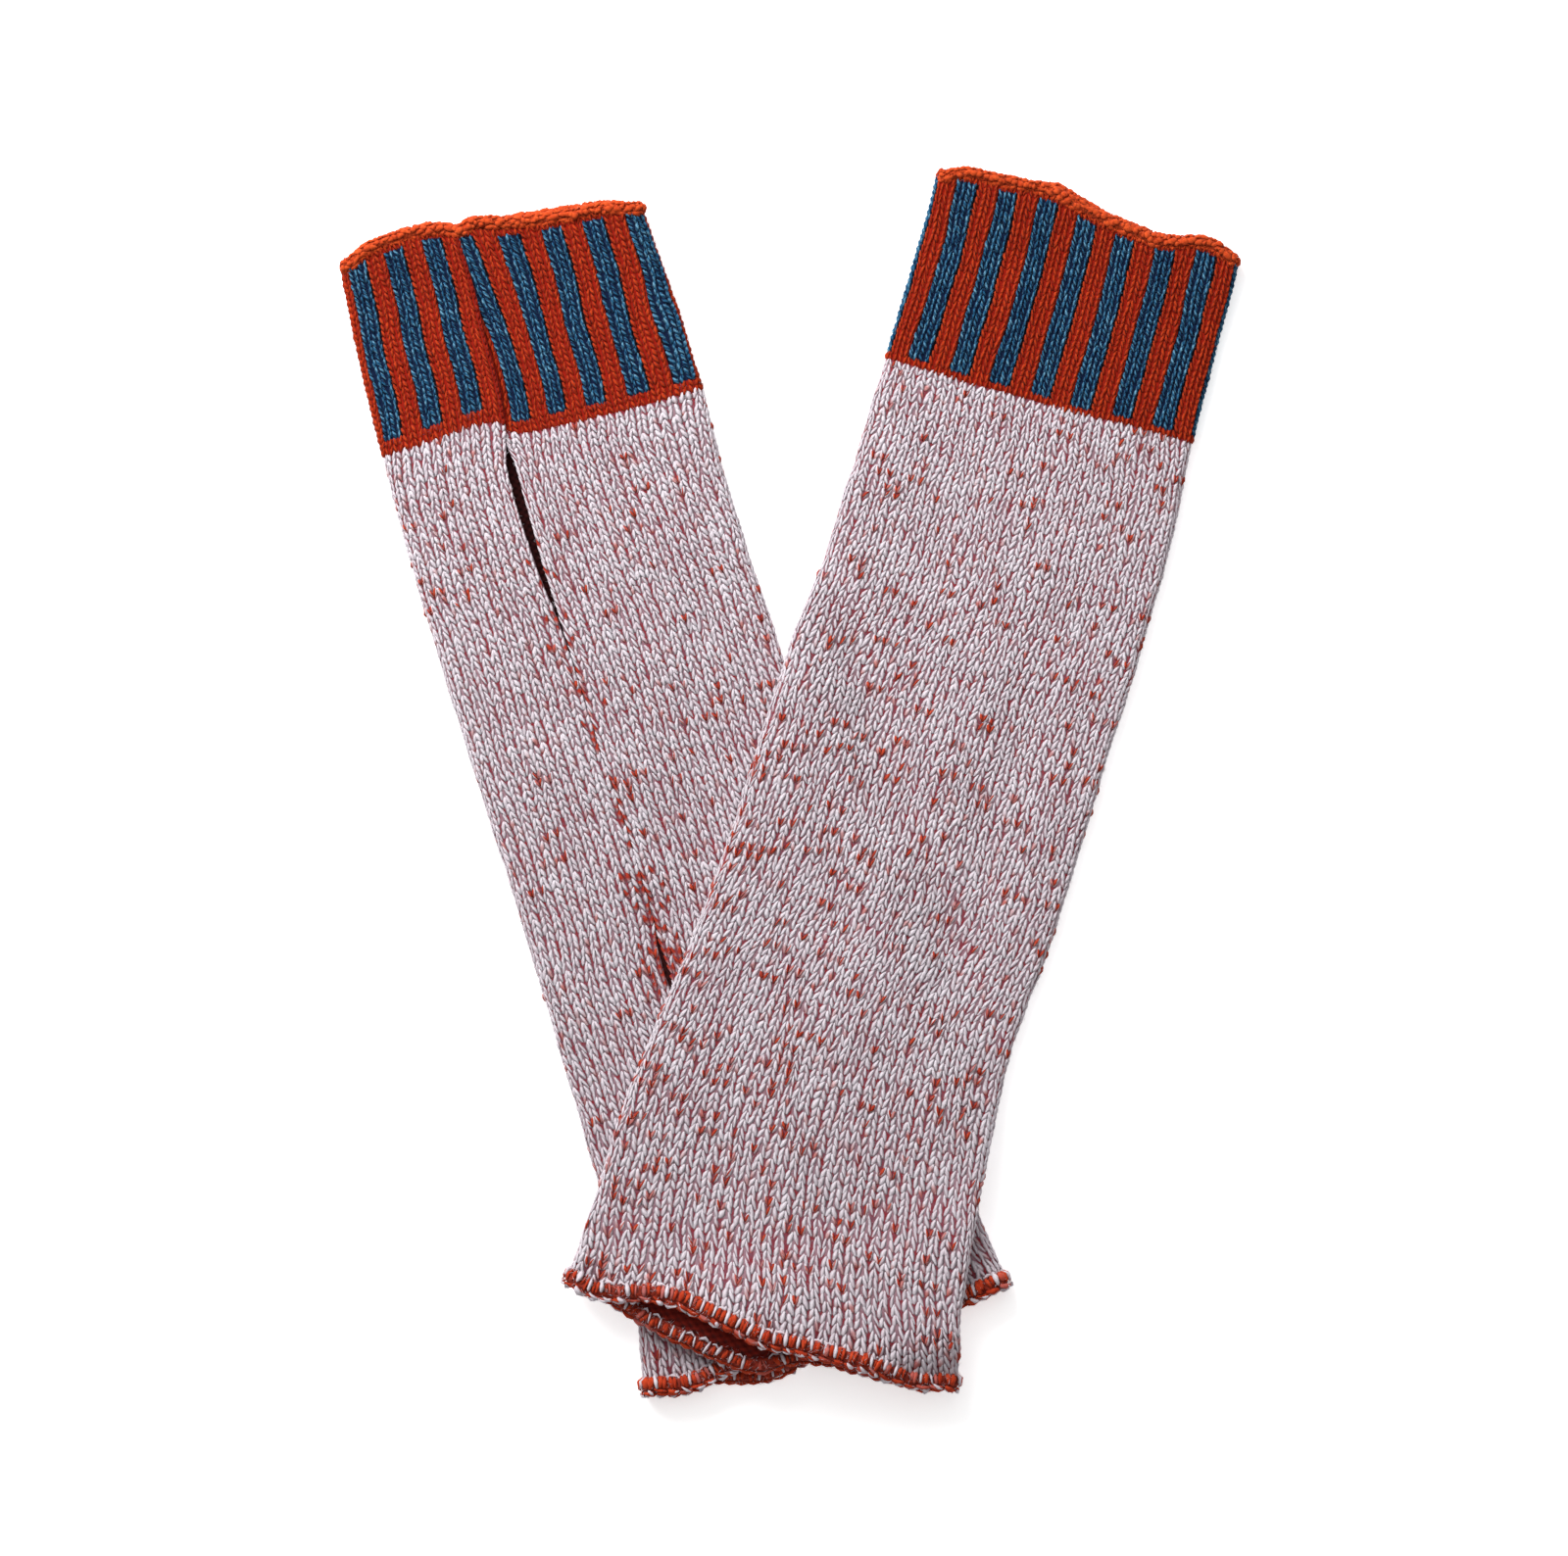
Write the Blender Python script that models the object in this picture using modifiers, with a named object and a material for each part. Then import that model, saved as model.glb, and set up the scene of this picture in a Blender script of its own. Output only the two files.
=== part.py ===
"""Pair of knitted wrist warmers laid flat on a surface, the upper one across the lower one.

Each warmer is one tube of plain knitting: a long sleeve for the forearm and a striped cuff at the
hand end. Both raw ends curl outward into a roll. One seam runs down each tube, and it is left open
below the cuff for the thumb. The lower warmer shows its seam, the upper one lies on its own.

Metres, +Z up, +Y towards the cuffs. The origin is the middle of the footprint, on the surface.
Each warmer is made in its own frame: x across it, y up its length, y = 0 at half its length.
"""

import math
from collections import namedtuple

import bmesh
import bpy
from mathutils import Matrix, Vector

MM = 0.001

# Fabric and flat tube
WALL = 1.8 * MM
LAYER_SPACE = 1.6 * MM
FLAT_HEIGHT = 2 * WALL + LAYER_SPACE
CLEARANCE = 0.3 * MM

# Curled raw ends: how far the roll's centre lies outside the middle of the wall, its gap to the end
# of the wall, its height over what it lies on, and how much of the tube climbs onto its own roll
HEM_ROLL_RADIUS = 1.7 * MM
CUFF_ROLL_RADIUS = 1.8 * MM
ROLL_OUTSET = 0.5 * MM
ROLL_GAP = 0.45 * MM
ROLL_FOOT = 0.04 * MM
CLIMB_LENGTH = 22 * MM

# Thumb opening: its width, and its ends as shares of the sleeve's length below the cuff
THUMB_OPENING_WIDTH = 2.2 * MM
THUMB_OPENING_START = 0.010
THUMB_OPENING_END = 0.195

# Drape of the upper warmer: the level part beside the lower one's edge, the fall from there to the
# table, and the level ridge along the lower one's rolled hem
DRAPE_SHELF = 5 * MM
DRAPE_FALL = 18 * MM
HEM_RIDGE = 9 * MM
MOUTH_LIFT = 1.8 * MM
MOUTH_LENGTH = 34 * MM
MOUTH_CENTRE = 0.45

# Distance from the cuff's edge line to the origin of a warmer's own frame
HALF_LENGTH = 150 * MM

# Side folds: distance from the cuff's edge line, and reach of the two folds from the axis (mm)
Side = namedtuple("Side", "along left right")
UPPER_SIDES = (
    Side(-6, -40.0, 40.2),
    Side(0, -39.6, 40.8),
    Side(20, -39.0, 41.5),
    Side(50, -39.3, 42.5),
    Side(66, -39.6, 44.1),
    Side(100, -40.2, 44.9),
    Side(130, -42.4, 44.3),
    Side(180, -43.5, 43.6),
    Side(212, -46.0, 41.6),
    Side(245, -49.8, 43.9),
    Side(278, -50.9, 47.6),
    Side(289, -51.2, 50.4),
    Side(300, -51.8, 52.2),
    Side(310, -51.8, 52.4),
)
LOWER_SIDES = (
    Side(-8, -40.2, 37.4),
    Side(0, -41.2, 38.0),
    Side(20, -43.0, 39.1),
    Side(50, -44.6, 39.4),
    Side(80, -45.4, 38.5),
    Side(120, -45.2, 39.5),
    Side(160, -44.4, 40.6),
    Side(200, -44.2, 42.0),
    Side(240, -44.4, 44.2),
    Side(275, -44.8, 47.2),
    Side(295, -48.4, 49.2),
    Side(305, -48.8, 49.6),
)

# Lines across the tube: share of the way from the left fold to the right fold, and distance from
# the cuff's edge line in the layer that lies on top and in the one below (mm)
Line = namedtuple("Line", "share top below")
UPPER_CUFF_EDGE = (
    Line(0.00, -0.4, -0.4),
    Line(0.06, -2.8, -2.0),
    Line(0.16, -3.4, -2.4),
    Line(0.30, -4.2, -4.0),
    Line(0.38, -4.2, -5.4),
    Line(0.45, -3.0, -4.0),
    Line(0.55, -1.4, -2.0),
    Line(0.64, -0.6, -1.2),
    Line(0.76, 0.2, -0.6),
    Line(0.88, -2.5, -1.8),
    Line(0.95, -2.4, -1.6),
    Line(1.00, -0.6, -0.6),
)
LOWER_CUFF_EDGE = (
    Line(0.00, -4.8, -4.8),
    Line(0.06, -7.2, -6.6),
    Line(0.11, -7.9, -7.0),
    Line(0.26, -8.1, -6.6),
    Line(0.34, -7.0, -6.0),
    Line(0.40, -5.0, -5.4),
    Line(0.45, -6.2, -4.8),
    Line(0.57, -3.6, -4.0),
    Line(0.79, -1.0, -2.0),
    Line(0.91, -0.1, -0.6),
    Line(1.00, 2.2, 2.2),
)
UPPER_JOIN = (
    Line(0.0, 49.6, 49.6),
    Line(0.5, 49.6, 49.4),
    Line(1.0, 48.4, 48.4),
)
LOWER_JOIN = (
    Line(0.00, 46.4, 46.4),
    Line(0.20, 45.2, 46.6),
    Line(0.35, 45.6, 47.6),
    Line(0.43, 50.0, 48.4),
    Line(0.65, 51.6, 50.2),
    Line(1.00, 52.8, 52.8),
)
UPPER_HEM = (
    Line(0.00, 299.2, 299.2),
    Line(0.04, 301.2, 300.4),
    Line(0.12, 301.2, 301.6),
    Line(0.19, 300.2, 303.8),
    Line(0.27, 299.4, 305.6),
    Line(0.42, 300.8, 308.0),
    Line(0.51, 301.8, 308.2),
    Line(0.57, 301.5, 304.2),
    Line(0.64, 300.6, 301.2),
    Line(0.78, 299.8, 300.2),
    Line(0.92, 300.0, 300.0),
    Line(1.00, 297.8, 297.8),
)
LOWER_HEM = (
    Line(0.00, 294.8, 294.8),
    Line(0.06, 296.4, 296.0),
    Line(0.13, 296.9, 296.4),
    Line(0.19, 295.6, 297.2),
    Line(0.32, 294.8, 300.3),
    Line(0.42, 295.0, 298.8),
    Line(0.60, 295.2, 296.2),
    Line(0.90, 295.6, 295.2),
    Line(1.00, 294.4, 294.4),
)

# Seam: distance from the cuff's edge line, place across the tube, and depth of its crease (mm)
Seam = namedtuple("Seam", "along across depth")
LOWER_SEAM = (
    Seam(-6, -9.2, 0.8),
    Seam(22, -8.5, 0.9),
    Seam(48, -11.2, 0.8),
    Seam(68, -14.0, 0.6),
    Seam(83, -14.8, 0.6),
    Seam(100, -13.6, 0.8),
    Seam(136, -12.2, 0.7),
    Seam(169, -10.4, 1.0),
    Seam(230, -9.0, 1.1),
    Seam(300, -8.0, 0.8),
)
UPPER_SEAM = (
    Seam(-6, 8.0, 0.7),
    Seam(50, 9.5, 0.7),
    Seam(80, 10.0, 0.5),
    Seam(150, 9.0, 0.6),
    Seam(310, 7.0, 0.6),
)

# Each warmer: place of its own frame, turn about +Z in degrees, whether its seam faces up and
# whether it is draped over the other, and its tables
Warmer = namedtuple("Warmer", "name place lean seam_up drapes sides cuff_edge join hem seam")
UPPER = Warmer("upper", (33.8 * MM, 1.1 * MM), -16.2, False, True,
               UPPER_SIDES, UPPER_CUFF_EDGE, UPPER_JOIN, UPPER_HEM, UPPER_SEAM)
LOWER = Warmer("lower", (-32.0 * MM, -4.1 * MM), 16.5, True, False,
               LOWER_SIDES, LOWER_CUFF_EDGE, LOWER_JOIN, LOWER_HEM, LOWER_SEAM)

# Grid of a tube: steps between its seam and its folds, round a fold, and along its length
SEAM_TO_RIGHT = (0.0, 0.08, 0.24, 0.42, 0.61, 0.80, 1.0)
LEFT_TO_SEAM = (0.0, 0.22, 0.45, 0.68, 0.88, 1.0)
PLAIN_LAYER_STEPS = 9
FOLD_STEPS = 4
SLEEVE_ROWS = (0.0, THUMB_OPENING_START, 0.05, 0.085, 0.12, 0.16, THUMB_OPENING_END, 0.23, 0.27,
               0.31, 0.35, 0.39, 0.43, 0.47, 0.51, 0.55, 0.59, 0.63, 0.67, 0.71, 0.75, 0.79,
               0.83, 0.87, 0.91, 0.94, 0.97, 1.0)
CUFF_ROWS = (0.0, 0.12, 0.26, 0.42, 0.6, 0.8, 1.0)


def read(rows, key, column, at):
    """One column of a table at a place between its rows, on a cubic that passes through them."""
    keys = [getattr(row, key) for row in rows]
    values = [getattr(row, column) for row in rows]
    at = min(max(at, keys[0]), keys[-1])
    last = len(keys) - 1
    low = max(index for index in range(last) if keys[index] <= at)
    slopes = []
    for index in (low, low + 1):
        before, after = max(index - 1, 0), min(index + 1, last)
        slopes.append((values[after] - values[before]) / (keys[after] - keys[before]))
    step = keys[low + 1] - keys[low]
    share = (at - keys[low]) / step
    rise = values[low + 1] - values[low]
    bend = share * (1 - share) * (
        (slopes[0] * step - rise) * (1 - share) - (slopes[1] * step - rise) * share)
    return values[low] + rise * share + bend


def smooth_step(share):
    share = min(max(share, 0.0), 1.0)
    return share * share * (3 - 2 * share)


def mix(first, second, share):
    return first + (second - first) * share


def level_of(angle):
    """How far up the side of the tube a column with this outward normal lies: 1 on top, 0 below."""
    return (1 + math.sin(math.radians(angle))) / 2


def along_at(line, share, level):
    """Distance of a line across the tube from the cuff's edge line, at a level between the layers."""
    below = read(line, "share", "below", share)
    top = read(line, "share", "top", share)
    return mix(below, top, level) * MM


def roll_rise(roll_radius):
    """Height of the outside of a wall over what its own roll lies on."""
    return roll_radius + ROLL_OUTSET + ROLL_FOOT - WALL / 2


def support_height(warmer, point):
    """Height of what a point of the upper warmer's underside lies on: the table or the lower one."""
    if not warmer.drapes:
        return 0.0
    below = frame_of(LOWER).inverted() @ frame_of(warmer) @ Vector((point.x, point.y, 0))
    along = HALF_LENGTH - below.y
    left = read(LOWER.sides, "along", "left", along / MM) * MM
    right = read(LOWER.sides, "along", "right", along / MM) * MM
    share = min(max((below.x - left) / (right - left), 0), 1)
    cuff_end = along_at(LOWER.cuff_edge, share, 1)
    hem_end = along_at(LOWER.hem, share, 1)
    sideways = max(left - below.x, below.x - right, 0)
    lengthways = max(cuff_end - along, along - hem_end, 0)
    outside = math.hypot(sideways, lengthways)
    falling = min(max((outside - DRAPE_SHELF) / DRAPE_FALL, 0), 1)
    climb = smooth_step(1 - (hem_end - HEM_RIDGE - along) / CLIMB_LENGTH)
    top = FLAT_HEIGHT + 2 * roll_rise(HEM_ROLL_RADIUS) * climb
    return (top + CLEARANCE) * (1 + math.cos(math.pi * falling)) / 2


def frame_of(warmer):
    place = Matrix.Translation((warmer.place[0], warmer.place[1], 0))
    return place @ Matrix.Rotation(math.radians(warmer.lean), 4, "Z")


def columns_of(warmer, along):
    """Ring of columns round the tube, from the seam back to the seam, as (share, angle) pairs.

    The share runs from the left fold to the right one, and the angle is that of the outward normal:
    90 degrees on the upper layer, -90 on the lower one, and between them round a fold.
    """
    left = read(warmer.sides, "along", "left", along / MM)
    right = read(warmer.sides, "along", "right", along / MM)
    seam = (read(warmer.seam, "along", "across", along / MM) - left) / (right - left)
    turn = 180 / FOLD_STEPS
    columns = [(mix(seam, 1, step), 90) for step in SEAM_TO_RIGHT]
    columns += [(1, 90 - turn * step) for step in range(1, FOLD_STEPS)]
    columns += [(1 - step / PLAIN_LAYER_STEPS, -90) for step in range(PLAIN_LAYER_STEPS + 1)]
    columns += [(0, -90 - turn * step) for step in range(1, FOLD_STEPS)]
    columns += [(seam * step, -270) for step in LEFT_TO_SEAM]
    if warmer.seam_up:
        return columns
    return [(share, -angle) for share, angle in columns]


def tube_point(warmer, share, angle, along, inset=0.0, widen=0.0):
    """Point of the outside of the flat tube, moved in by inset and sideways by widen."""
    normal = Vector((math.cos(math.radians(angle)), math.sin(math.radians(angle))))
    level = level_of(angle)
    left = read(warmer.sides, "along", "left", along / MM) * MM
    right = read(warmer.sides, "along", "right", along / MM) * MM
    radius = FLAT_HEIGHT / 2
    to_cuff_end = along - along_at(warmer.cuff_edge, share, level)
    to_hem_end = along_at(warmer.hem, share, level) - along
    rise = roll_rise(CUFF_ROLL_RADIUS) * smooth_step(1 - to_cuff_end / CLIMB_LENGTH)
    rise += roll_rise(HEM_ROLL_RADIUS) * smooth_step(1 - to_hem_end / CLIMB_LENGTH)
    if warmer.drapes:
        across_mouth = smooth_step(1 - abs(share - MOUTH_CENTRE) / MOUTH_CENTRE)
        rise += MOUTH_LIFT * across_mouth * smooth_step(1 - to_hem_end / MOUTH_LENGTH) * level
    reach = radius - inset
    across = mix(left + radius, right - radius, share) + reach * normal.x + widen
    point = Vector((across, HALF_LENGTH - along, radius + rise + reach * normal.y))
    point.z += support_height(warmer, point)
    return point


def ring_of(warmer, start_line, end_line, row, start_gap, end_gap):
    """Points of one ring of the tube, a share of the way between two lines across it.

    The ring starts and ends at the seam, where it is creased in, and it is open at the thumb opening.
    """
    middle = mix(along_at(start_line, 0.5, 0.5), along_at(end_line, 0.5, 0.5), row)
    columns = columns_of(warmer, middle)
    opening = 0.0
    if start_line is warmer.join and THUMB_OPENING_START < row < THUMB_OPENING_END:
        share = (row - THUMB_OPENING_START) / (THUMB_OPENING_END - THUMB_OPENING_START)
        opening = math.sin(math.pi * share) * THUMB_OPENING_WIDTH / 2
    ring = []
    for index, (share, angle) in enumerate(columns):
        level = level_of(angle)
        start = along_at(start_line, share, level) + start_gap
        end = along_at(end_line, share, level) - end_gap
        side = {0: 1, len(columns) - 1: -1}.get(index, 0)
        along = mix(start, end, row)
        inset = read(warmer.seam, "along", "depth", along / MM) * MM * abs(side)
        ring.append(tube_point(warmer, share, angle, along, inset, side * opening))
    return ring, opening > 0


def add_material(name, colour, roughness):
    material = bpy.data.materials.new(name)
    material.use_nodes = True
    shader = material.node_tree.nodes["Principled BSDF"]
    shader.inputs["Base Color"].default_value = (*colour, 1)
    shader.inputs["Roughness"].default_value = roughness
    shader.inputs["Metallic"].default_value = 0
    return material


def add_object(name, data, parent, material):
    piece = bpy.data.objects.new(name, data)
    piece.data.materials.append(material)
    piece.parent = parent
    parts.objects.link(piece)
    return piece


def add_tube(name, warmer, rings, parent, material):
    """Open tube through its rings, given its wall inward; the seam is split where a ring is open."""
    shell = bmesh.new()
    grid = []
    for ring, is_open in rings:
        corners = [shell.verts.new(point) for point in ring[:-1]]
        corners.append(shell.verts.new(ring[-1]) if is_open else corners[0])
        grid.append(corners)
    for upper_row, lower_row in zip(grid, grid[1:]):
        for column in range(len(upper_row) - 1):
            corners = [upper_row[column], upper_row[column + 1],
                       lower_row[column + 1], lower_row[column]]
            shell.faces.new(corners[::-1] if warmer.seam_up else corners)
    mesh = bpy.data.meshes.new(name)
    shell.to_mesh(mesh)
    shell.free()
    mesh.shade_smooth()
    tube = add_object(name, mesh, parent, material)
    wall = tube.modifiers.new("Wall", "SOLIDIFY")
    wall.thickness = WALL
    wall.offset = -1
    wall.use_even_offset = True
    return tube


def add_roll(name, warmer, line, outward, radius, parent, material):
    """Curled raw end: a round ring just beyond the end of the wall, all the way round the mouth."""
    columns = columns_of(warmer, along_at(line, 0.5, 0.5))[:-1]
    curve = bpy.data.curves.new(name, "CURVE")
    curve.dimensions = "3D"
    curve.bevel_depth = radius
    curve.bevel_resolution = 2
    path = curve.splines.new("POLY")
    path.points.add(len(columns) - 1)
    for point, (share, angle) in zip(path.points, columns):
        along = along_at(line, share, level_of(angle)) - outward * radius
        place = tube_point(warmer, share, angle, along, WALL / 2 - ROLL_OUTSET)
        point.co = (*place, 1)
    path.use_cyclic_u = True
    return add_object(name, curve, parent, material)


def add_warmer(warmer, parent):
    """Cuff, sleeve and the two curled ends of one warmer, on an empty at the middle of its axis."""
    holder = bpy.data.objects.new(warmer.name + "_warmer", None)
    holder.location = (warmer.place[0], warmer.place[1], 0)
    holder.rotation_euler.z = math.radians(warmer.lean)
    holder.parent = parent
    parts.objects.link(holder)
    cuff_end_gap = 2 * CUFF_ROLL_RADIUS + ROLL_GAP
    hem_end_gap = 2 * HEM_ROLL_RADIUS + ROLL_GAP
    cuff = [ring_of(warmer, warmer.cuff_edge, warmer.join, row, cuff_end_gap, CLEARANCE / 2)
            for row in CUFF_ROWS]
    sleeve = [ring_of(warmer, warmer.join, warmer.hem, row, CLEARANCE / 2, hem_end_gap)
              for row in SLEEVE_ROWS]
    add_tube(warmer.name + "_cuff", warmer, cuff, holder, cuff_knit)
    add_tube(warmer.name + "_sleeve", warmer, sleeve, holder, sleeve_knit)
    add_roll(warmer.name + "_cuff_roll", warmer, warmer.cuff_edge, -1, CUFF_ROLL_RADIUS, holder,
             cuff_roll_knit)
    add_roll(warmer.name + "_hem_roll", warmer, warmer.hem, 1, HEM_ROLL_RADIUS, holder,
             hem_roll_knit)


for old in list(bpy.data.objects):
    bpy.data.objects.remove(old, do_unlink=True)
parts = bpy.data.collections.new("wrist_warmers")
bpy.context.scene.collection.children.link(parts)

cuff_knit = add_material("cuff_knit", (0.06, 0.16, 0.27), 0.9)
sleeve_knit = add_material("sleeve_knit", (0.55, 0.43, 0.47), 0.9)
cuff_roll_knit = add_material("cuff_roll_knit", (0.60, 0.07, 0.015), 0.9)
hem_roll_knit = add_material("hem_roll_knit", (0.55, 0.09, 0.04), 0.9)

pair = bpy.data.objects.new("wrist_warmer_pair", None)
parts.objects.link(pair)
for each in (LOWER, UPPER):
    add_warmer(each, pair)
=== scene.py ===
# %% [markdown]
# # A pair of knitted wrist warmers, laid flat
#
# Each warmer is one tube of plain knitting: a long sleeve in pale yarn with an orange yarn plated
# behind it, and a striped cuff at the hand end. Both raw ends curl outward into a roll. The lower
# warmer shows its seam, which is left open below the cuff for the thumb, and the upper one lies
# across it.
#
# This file is a lesson: each step says what the thing is on the real object and how it is made
# here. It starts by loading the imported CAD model, which fixes where everything goes.

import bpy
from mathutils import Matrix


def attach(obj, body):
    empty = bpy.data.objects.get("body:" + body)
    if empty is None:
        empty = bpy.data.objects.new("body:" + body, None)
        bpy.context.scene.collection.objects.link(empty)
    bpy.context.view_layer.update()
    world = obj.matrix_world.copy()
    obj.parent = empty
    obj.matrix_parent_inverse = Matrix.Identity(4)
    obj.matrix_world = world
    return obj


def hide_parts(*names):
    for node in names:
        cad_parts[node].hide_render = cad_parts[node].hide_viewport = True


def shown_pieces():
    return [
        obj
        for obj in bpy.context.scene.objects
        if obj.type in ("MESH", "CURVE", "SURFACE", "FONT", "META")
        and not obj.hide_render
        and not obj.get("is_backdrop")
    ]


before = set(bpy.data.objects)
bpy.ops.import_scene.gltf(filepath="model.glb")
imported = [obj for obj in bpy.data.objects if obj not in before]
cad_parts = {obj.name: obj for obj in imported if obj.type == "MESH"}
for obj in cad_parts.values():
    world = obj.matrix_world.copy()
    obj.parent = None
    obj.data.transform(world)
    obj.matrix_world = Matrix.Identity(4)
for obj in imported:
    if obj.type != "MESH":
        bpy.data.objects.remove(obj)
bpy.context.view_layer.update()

# %% [markdown]
# ## Sizes
#
# Everything below is worked out in millimetres, in the frame of its own warmer: x across the flat
# tube, and "along" counted from the cuff's edge line towards the hem. The tables are those of the
# CAD solids, so that the cloth lies where its solid does. A tube is two walls with a little air
# between them, so its sides are half circles.

# %% Fabric sizes
import math
from collections import namedtuple

import bpy
import numpy as np

MM = 0.001  # one millimetre in metres
WALL = 1.8
LAYER_SPACE = 1.6  # between the two walls of a flat tube
FLAT_HEIGHT = 2 * WALL + LAYER_SPACE
FOLD_RADIUS = FLAT_HEIGHT / 2
CLEARANCE = 0.3  # between the two warmers
HALF_LENGTH = 150.0  # from the cuff's edge line to the origin of a warmer's own frame
HEM_ROLL_RADIUS, CUFF_ROLL_RADIUS = 1.7, 1.8  # of the solid rings
ROLL_OUTSET, ROLL_FOOT = 0.5, 0.04  # of the ring's middle past the wall's, and off the table
CLIMB_LENGTH = 22.0  # over which a wall rises to its curled end

# %% Drape of the upper warmer over the lower one
DRAPE_SHELF, DRAPE_FALL = 5.0, 18.0  # level past the lower warmer's outline, then falling
HEM_RIDGE = 9.0  # how far before its hem line the lower warmer is highest
MOUTH_LIFT, MOUTH_LENGTH, MOUTH_CENTRE = 1.8, 34.0, 0.45  # the hem's upper layer stands open
CUFF_CALM, HEM_CALM = 8, 12  # no crease reaches this near to an end


def table(kind, *rows):
    """A table whose rows have named columns."""
    return [kind(*row) for row in rows]


# %% Side folds of each warmer: reach to the left and right of its axis
Side = namedtuple("Side", "along left right")
UPPER_SIDES = table(
    Side, (-6, -40, 40.2), (0, -39.6, 40.8), (20, -39, 41.5), (50, -39.3, 42.5),
    (66, -39.6, 44.1), (100, -40.2, 44.9), (130, -42.4, 44.3), (180, -43.5, 43.6),
    (212, -46, 41.6), (245, -49.8, 43.9), (278, -50.9, 47.6), (289, -51.2, 50.4),
    (300, -51.8, 52.2), (310, -51.8, 52.4))
LOWER_SIDES = table(
    Side, (-8, -40.2, 37.4), (0, -41.2, 38), (20, -43, 39.1), (50, -44.6, 39.4),
    (80, -45.4, 38.5), (120, -45.2, 39.5), (160, -44.4, 40.6), (200, -44.2, 42),
    (240, -44.4, 44.2), (275, -44.8, 47.2), (295, -48.4, 49.2), (305, -48.8, 49.6))

# %% Lines across each tube: share of the way from the left fold, and distance along in the layer
# on top and in the one below
Line = namedtuple("Line", "share top below")
UPPER_CUFF_EDGE = table(
    Line, (0, -0.4, -0.4), (0.06, -2.8, -2), (0.16, -3.4, -2.4), (0.3, -4.2, -4),
    (0.38, -4.2, -5.4), (0.45, -3, -4), (0.55, -1.4, -2), (0.64, -0.6, -1.2),
    (0.76, 0.2, -0.6), (0.88, -2.5, -1.8), (0.95, -2.4, -1.6), (1, -0.6, -0.6))
LOWER_CUFF_EDGE = table(
    Line, (0, -4.8, -4.8), (0.06, -7.2, -6.6), (0.11, -7.9, -7), (0.26, -8.1, -6.6),
    (0.34, -7, -6), (0.4, -5, -5.4), (0.45, -6.2, -4.8), (0.57, -3.6, -4), (0.79, -1, -2),
    (0.91, -0.1, -0.6), (1, 2.2, 2.2))
UPPER_JOIN = table(
    Line, (0, 49.6, 49.6), (0.5, 49.6, 49.4), (1, 48.4, 48.4))
LOWER_JOIN = table(
    Line, (0, 46.4, 46.4), (0.2, 45.2, 46.6), (0.35, 45.6, 47.6), (0.43, 50, 48.4),
    (0.65, 51.6, 50.2), (1, 52.8, 52.8))
UPPER_HEM = table(
    Line, (0, 299.2, 299.2), (0.04, 300.4, 300), (0.12, 299.4, 301.2), (0.19, 297.2, 303.2),
    (0.27, 296.6, 304.8), (0.42, 298.6, 307), (0.51, 300, 307.2), (0.57, 299.6, 303.6),
    (0.64, 299.2, 300.8), (0.78, 299, 300), (0.92, 299.8, 299.8), (1, 297.8, 297.8))
LOWER_HEM = table(
    Line, (0, 294.8, 294.8), (0.06, 296.4, 296), (0.13, 296.9, 296.4), (0.19, 295.6, 297.2),
    (0.32, 294.8, 300.3), (0.42, 295, 298.8), (0.6, 295.2, 296.2), (0.9, 295.6, 295.2),
    (1, 294.4, 294.4))

# %% [markdown]
# ## The seam and the thumb opening
#
# The two edges of the panel meet at the seam. Along the cuff the left edge lies over the right
# one, so part of the first stripe is tucked under. Below the cuff the seam is open for the thumb:
# the lips stand apart, the left one a little higher, and both curl in. Further down the seam is a
# crease that deepens where the other warmer presses on the cloth beside it. The upper warmer is
# laid the other way up, so its seam and its thumb opening are on its underside.

# %% Seam tables
Seam = namedtuple("Seam", "along across gap curl tuck slide rise drop", defaults=(0,) * 4)
LOWER_SEAM = table(
    Seam, (-8, -9.2, 0, 0.6, 8, 0.5, 0.5, 1), (13, -9.2, 0, 0.7, 5, 2.4, 0.7, 1.3),
    (25, -10.1, -0.2, 0.5, 1.8, 3.3, 0.9, 1.6), (38, -10.3, -0.2, 0.5, 1.6, 3.5, 0.9, 1.5),
    (47, -11.2, -0.4, 0.8, 1.5, 3.5, 0.7, 0.9), (52, -12.1, -0.2, 1, 0.5, 3, 0.6, 0.4),
    (57, -13.2, 1.3, 1.2, 0, 2.4, 0.6, 0.4), (68, -13.9, 1.5, 1.3, 0, 1.3, 0.6, 0.4),
    (80, -13.8, 0.9, 1.4, 0, 0.5, 0.6, 0.4), (88, -13.7, 0.45, 1.4, 0, 0.1, 0.6, 0.4),
    (94, -13.3, 0.05, 1.3, 0, 0, 0.6, 0.4), (100, -12.9, -0.4, 1, 0, 0, 0.5, 0.4),
    (112, -12.5, -0.5, 0.6, 0, 0, 0.2, 0.2), (136, -12.2, -0.6, 0.5, 0, 0, 0.1, 0.1),
    (160, -11.4, -0.6, 0.5, 0, 0, 0.1, 0.1), (180, -11.4, -0.6, 0.6, 0, 0, 0.2, 0.2),
    (192, -12.3, 0, 1.2, 0, 0, 0.2, 0.3), (230, -10, -0.7, 0.2, 0, 0, 0.1, 0.1),
    (305, -8, -0.7, 0.2, 0, 0, 0.1, 0.1))
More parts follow.
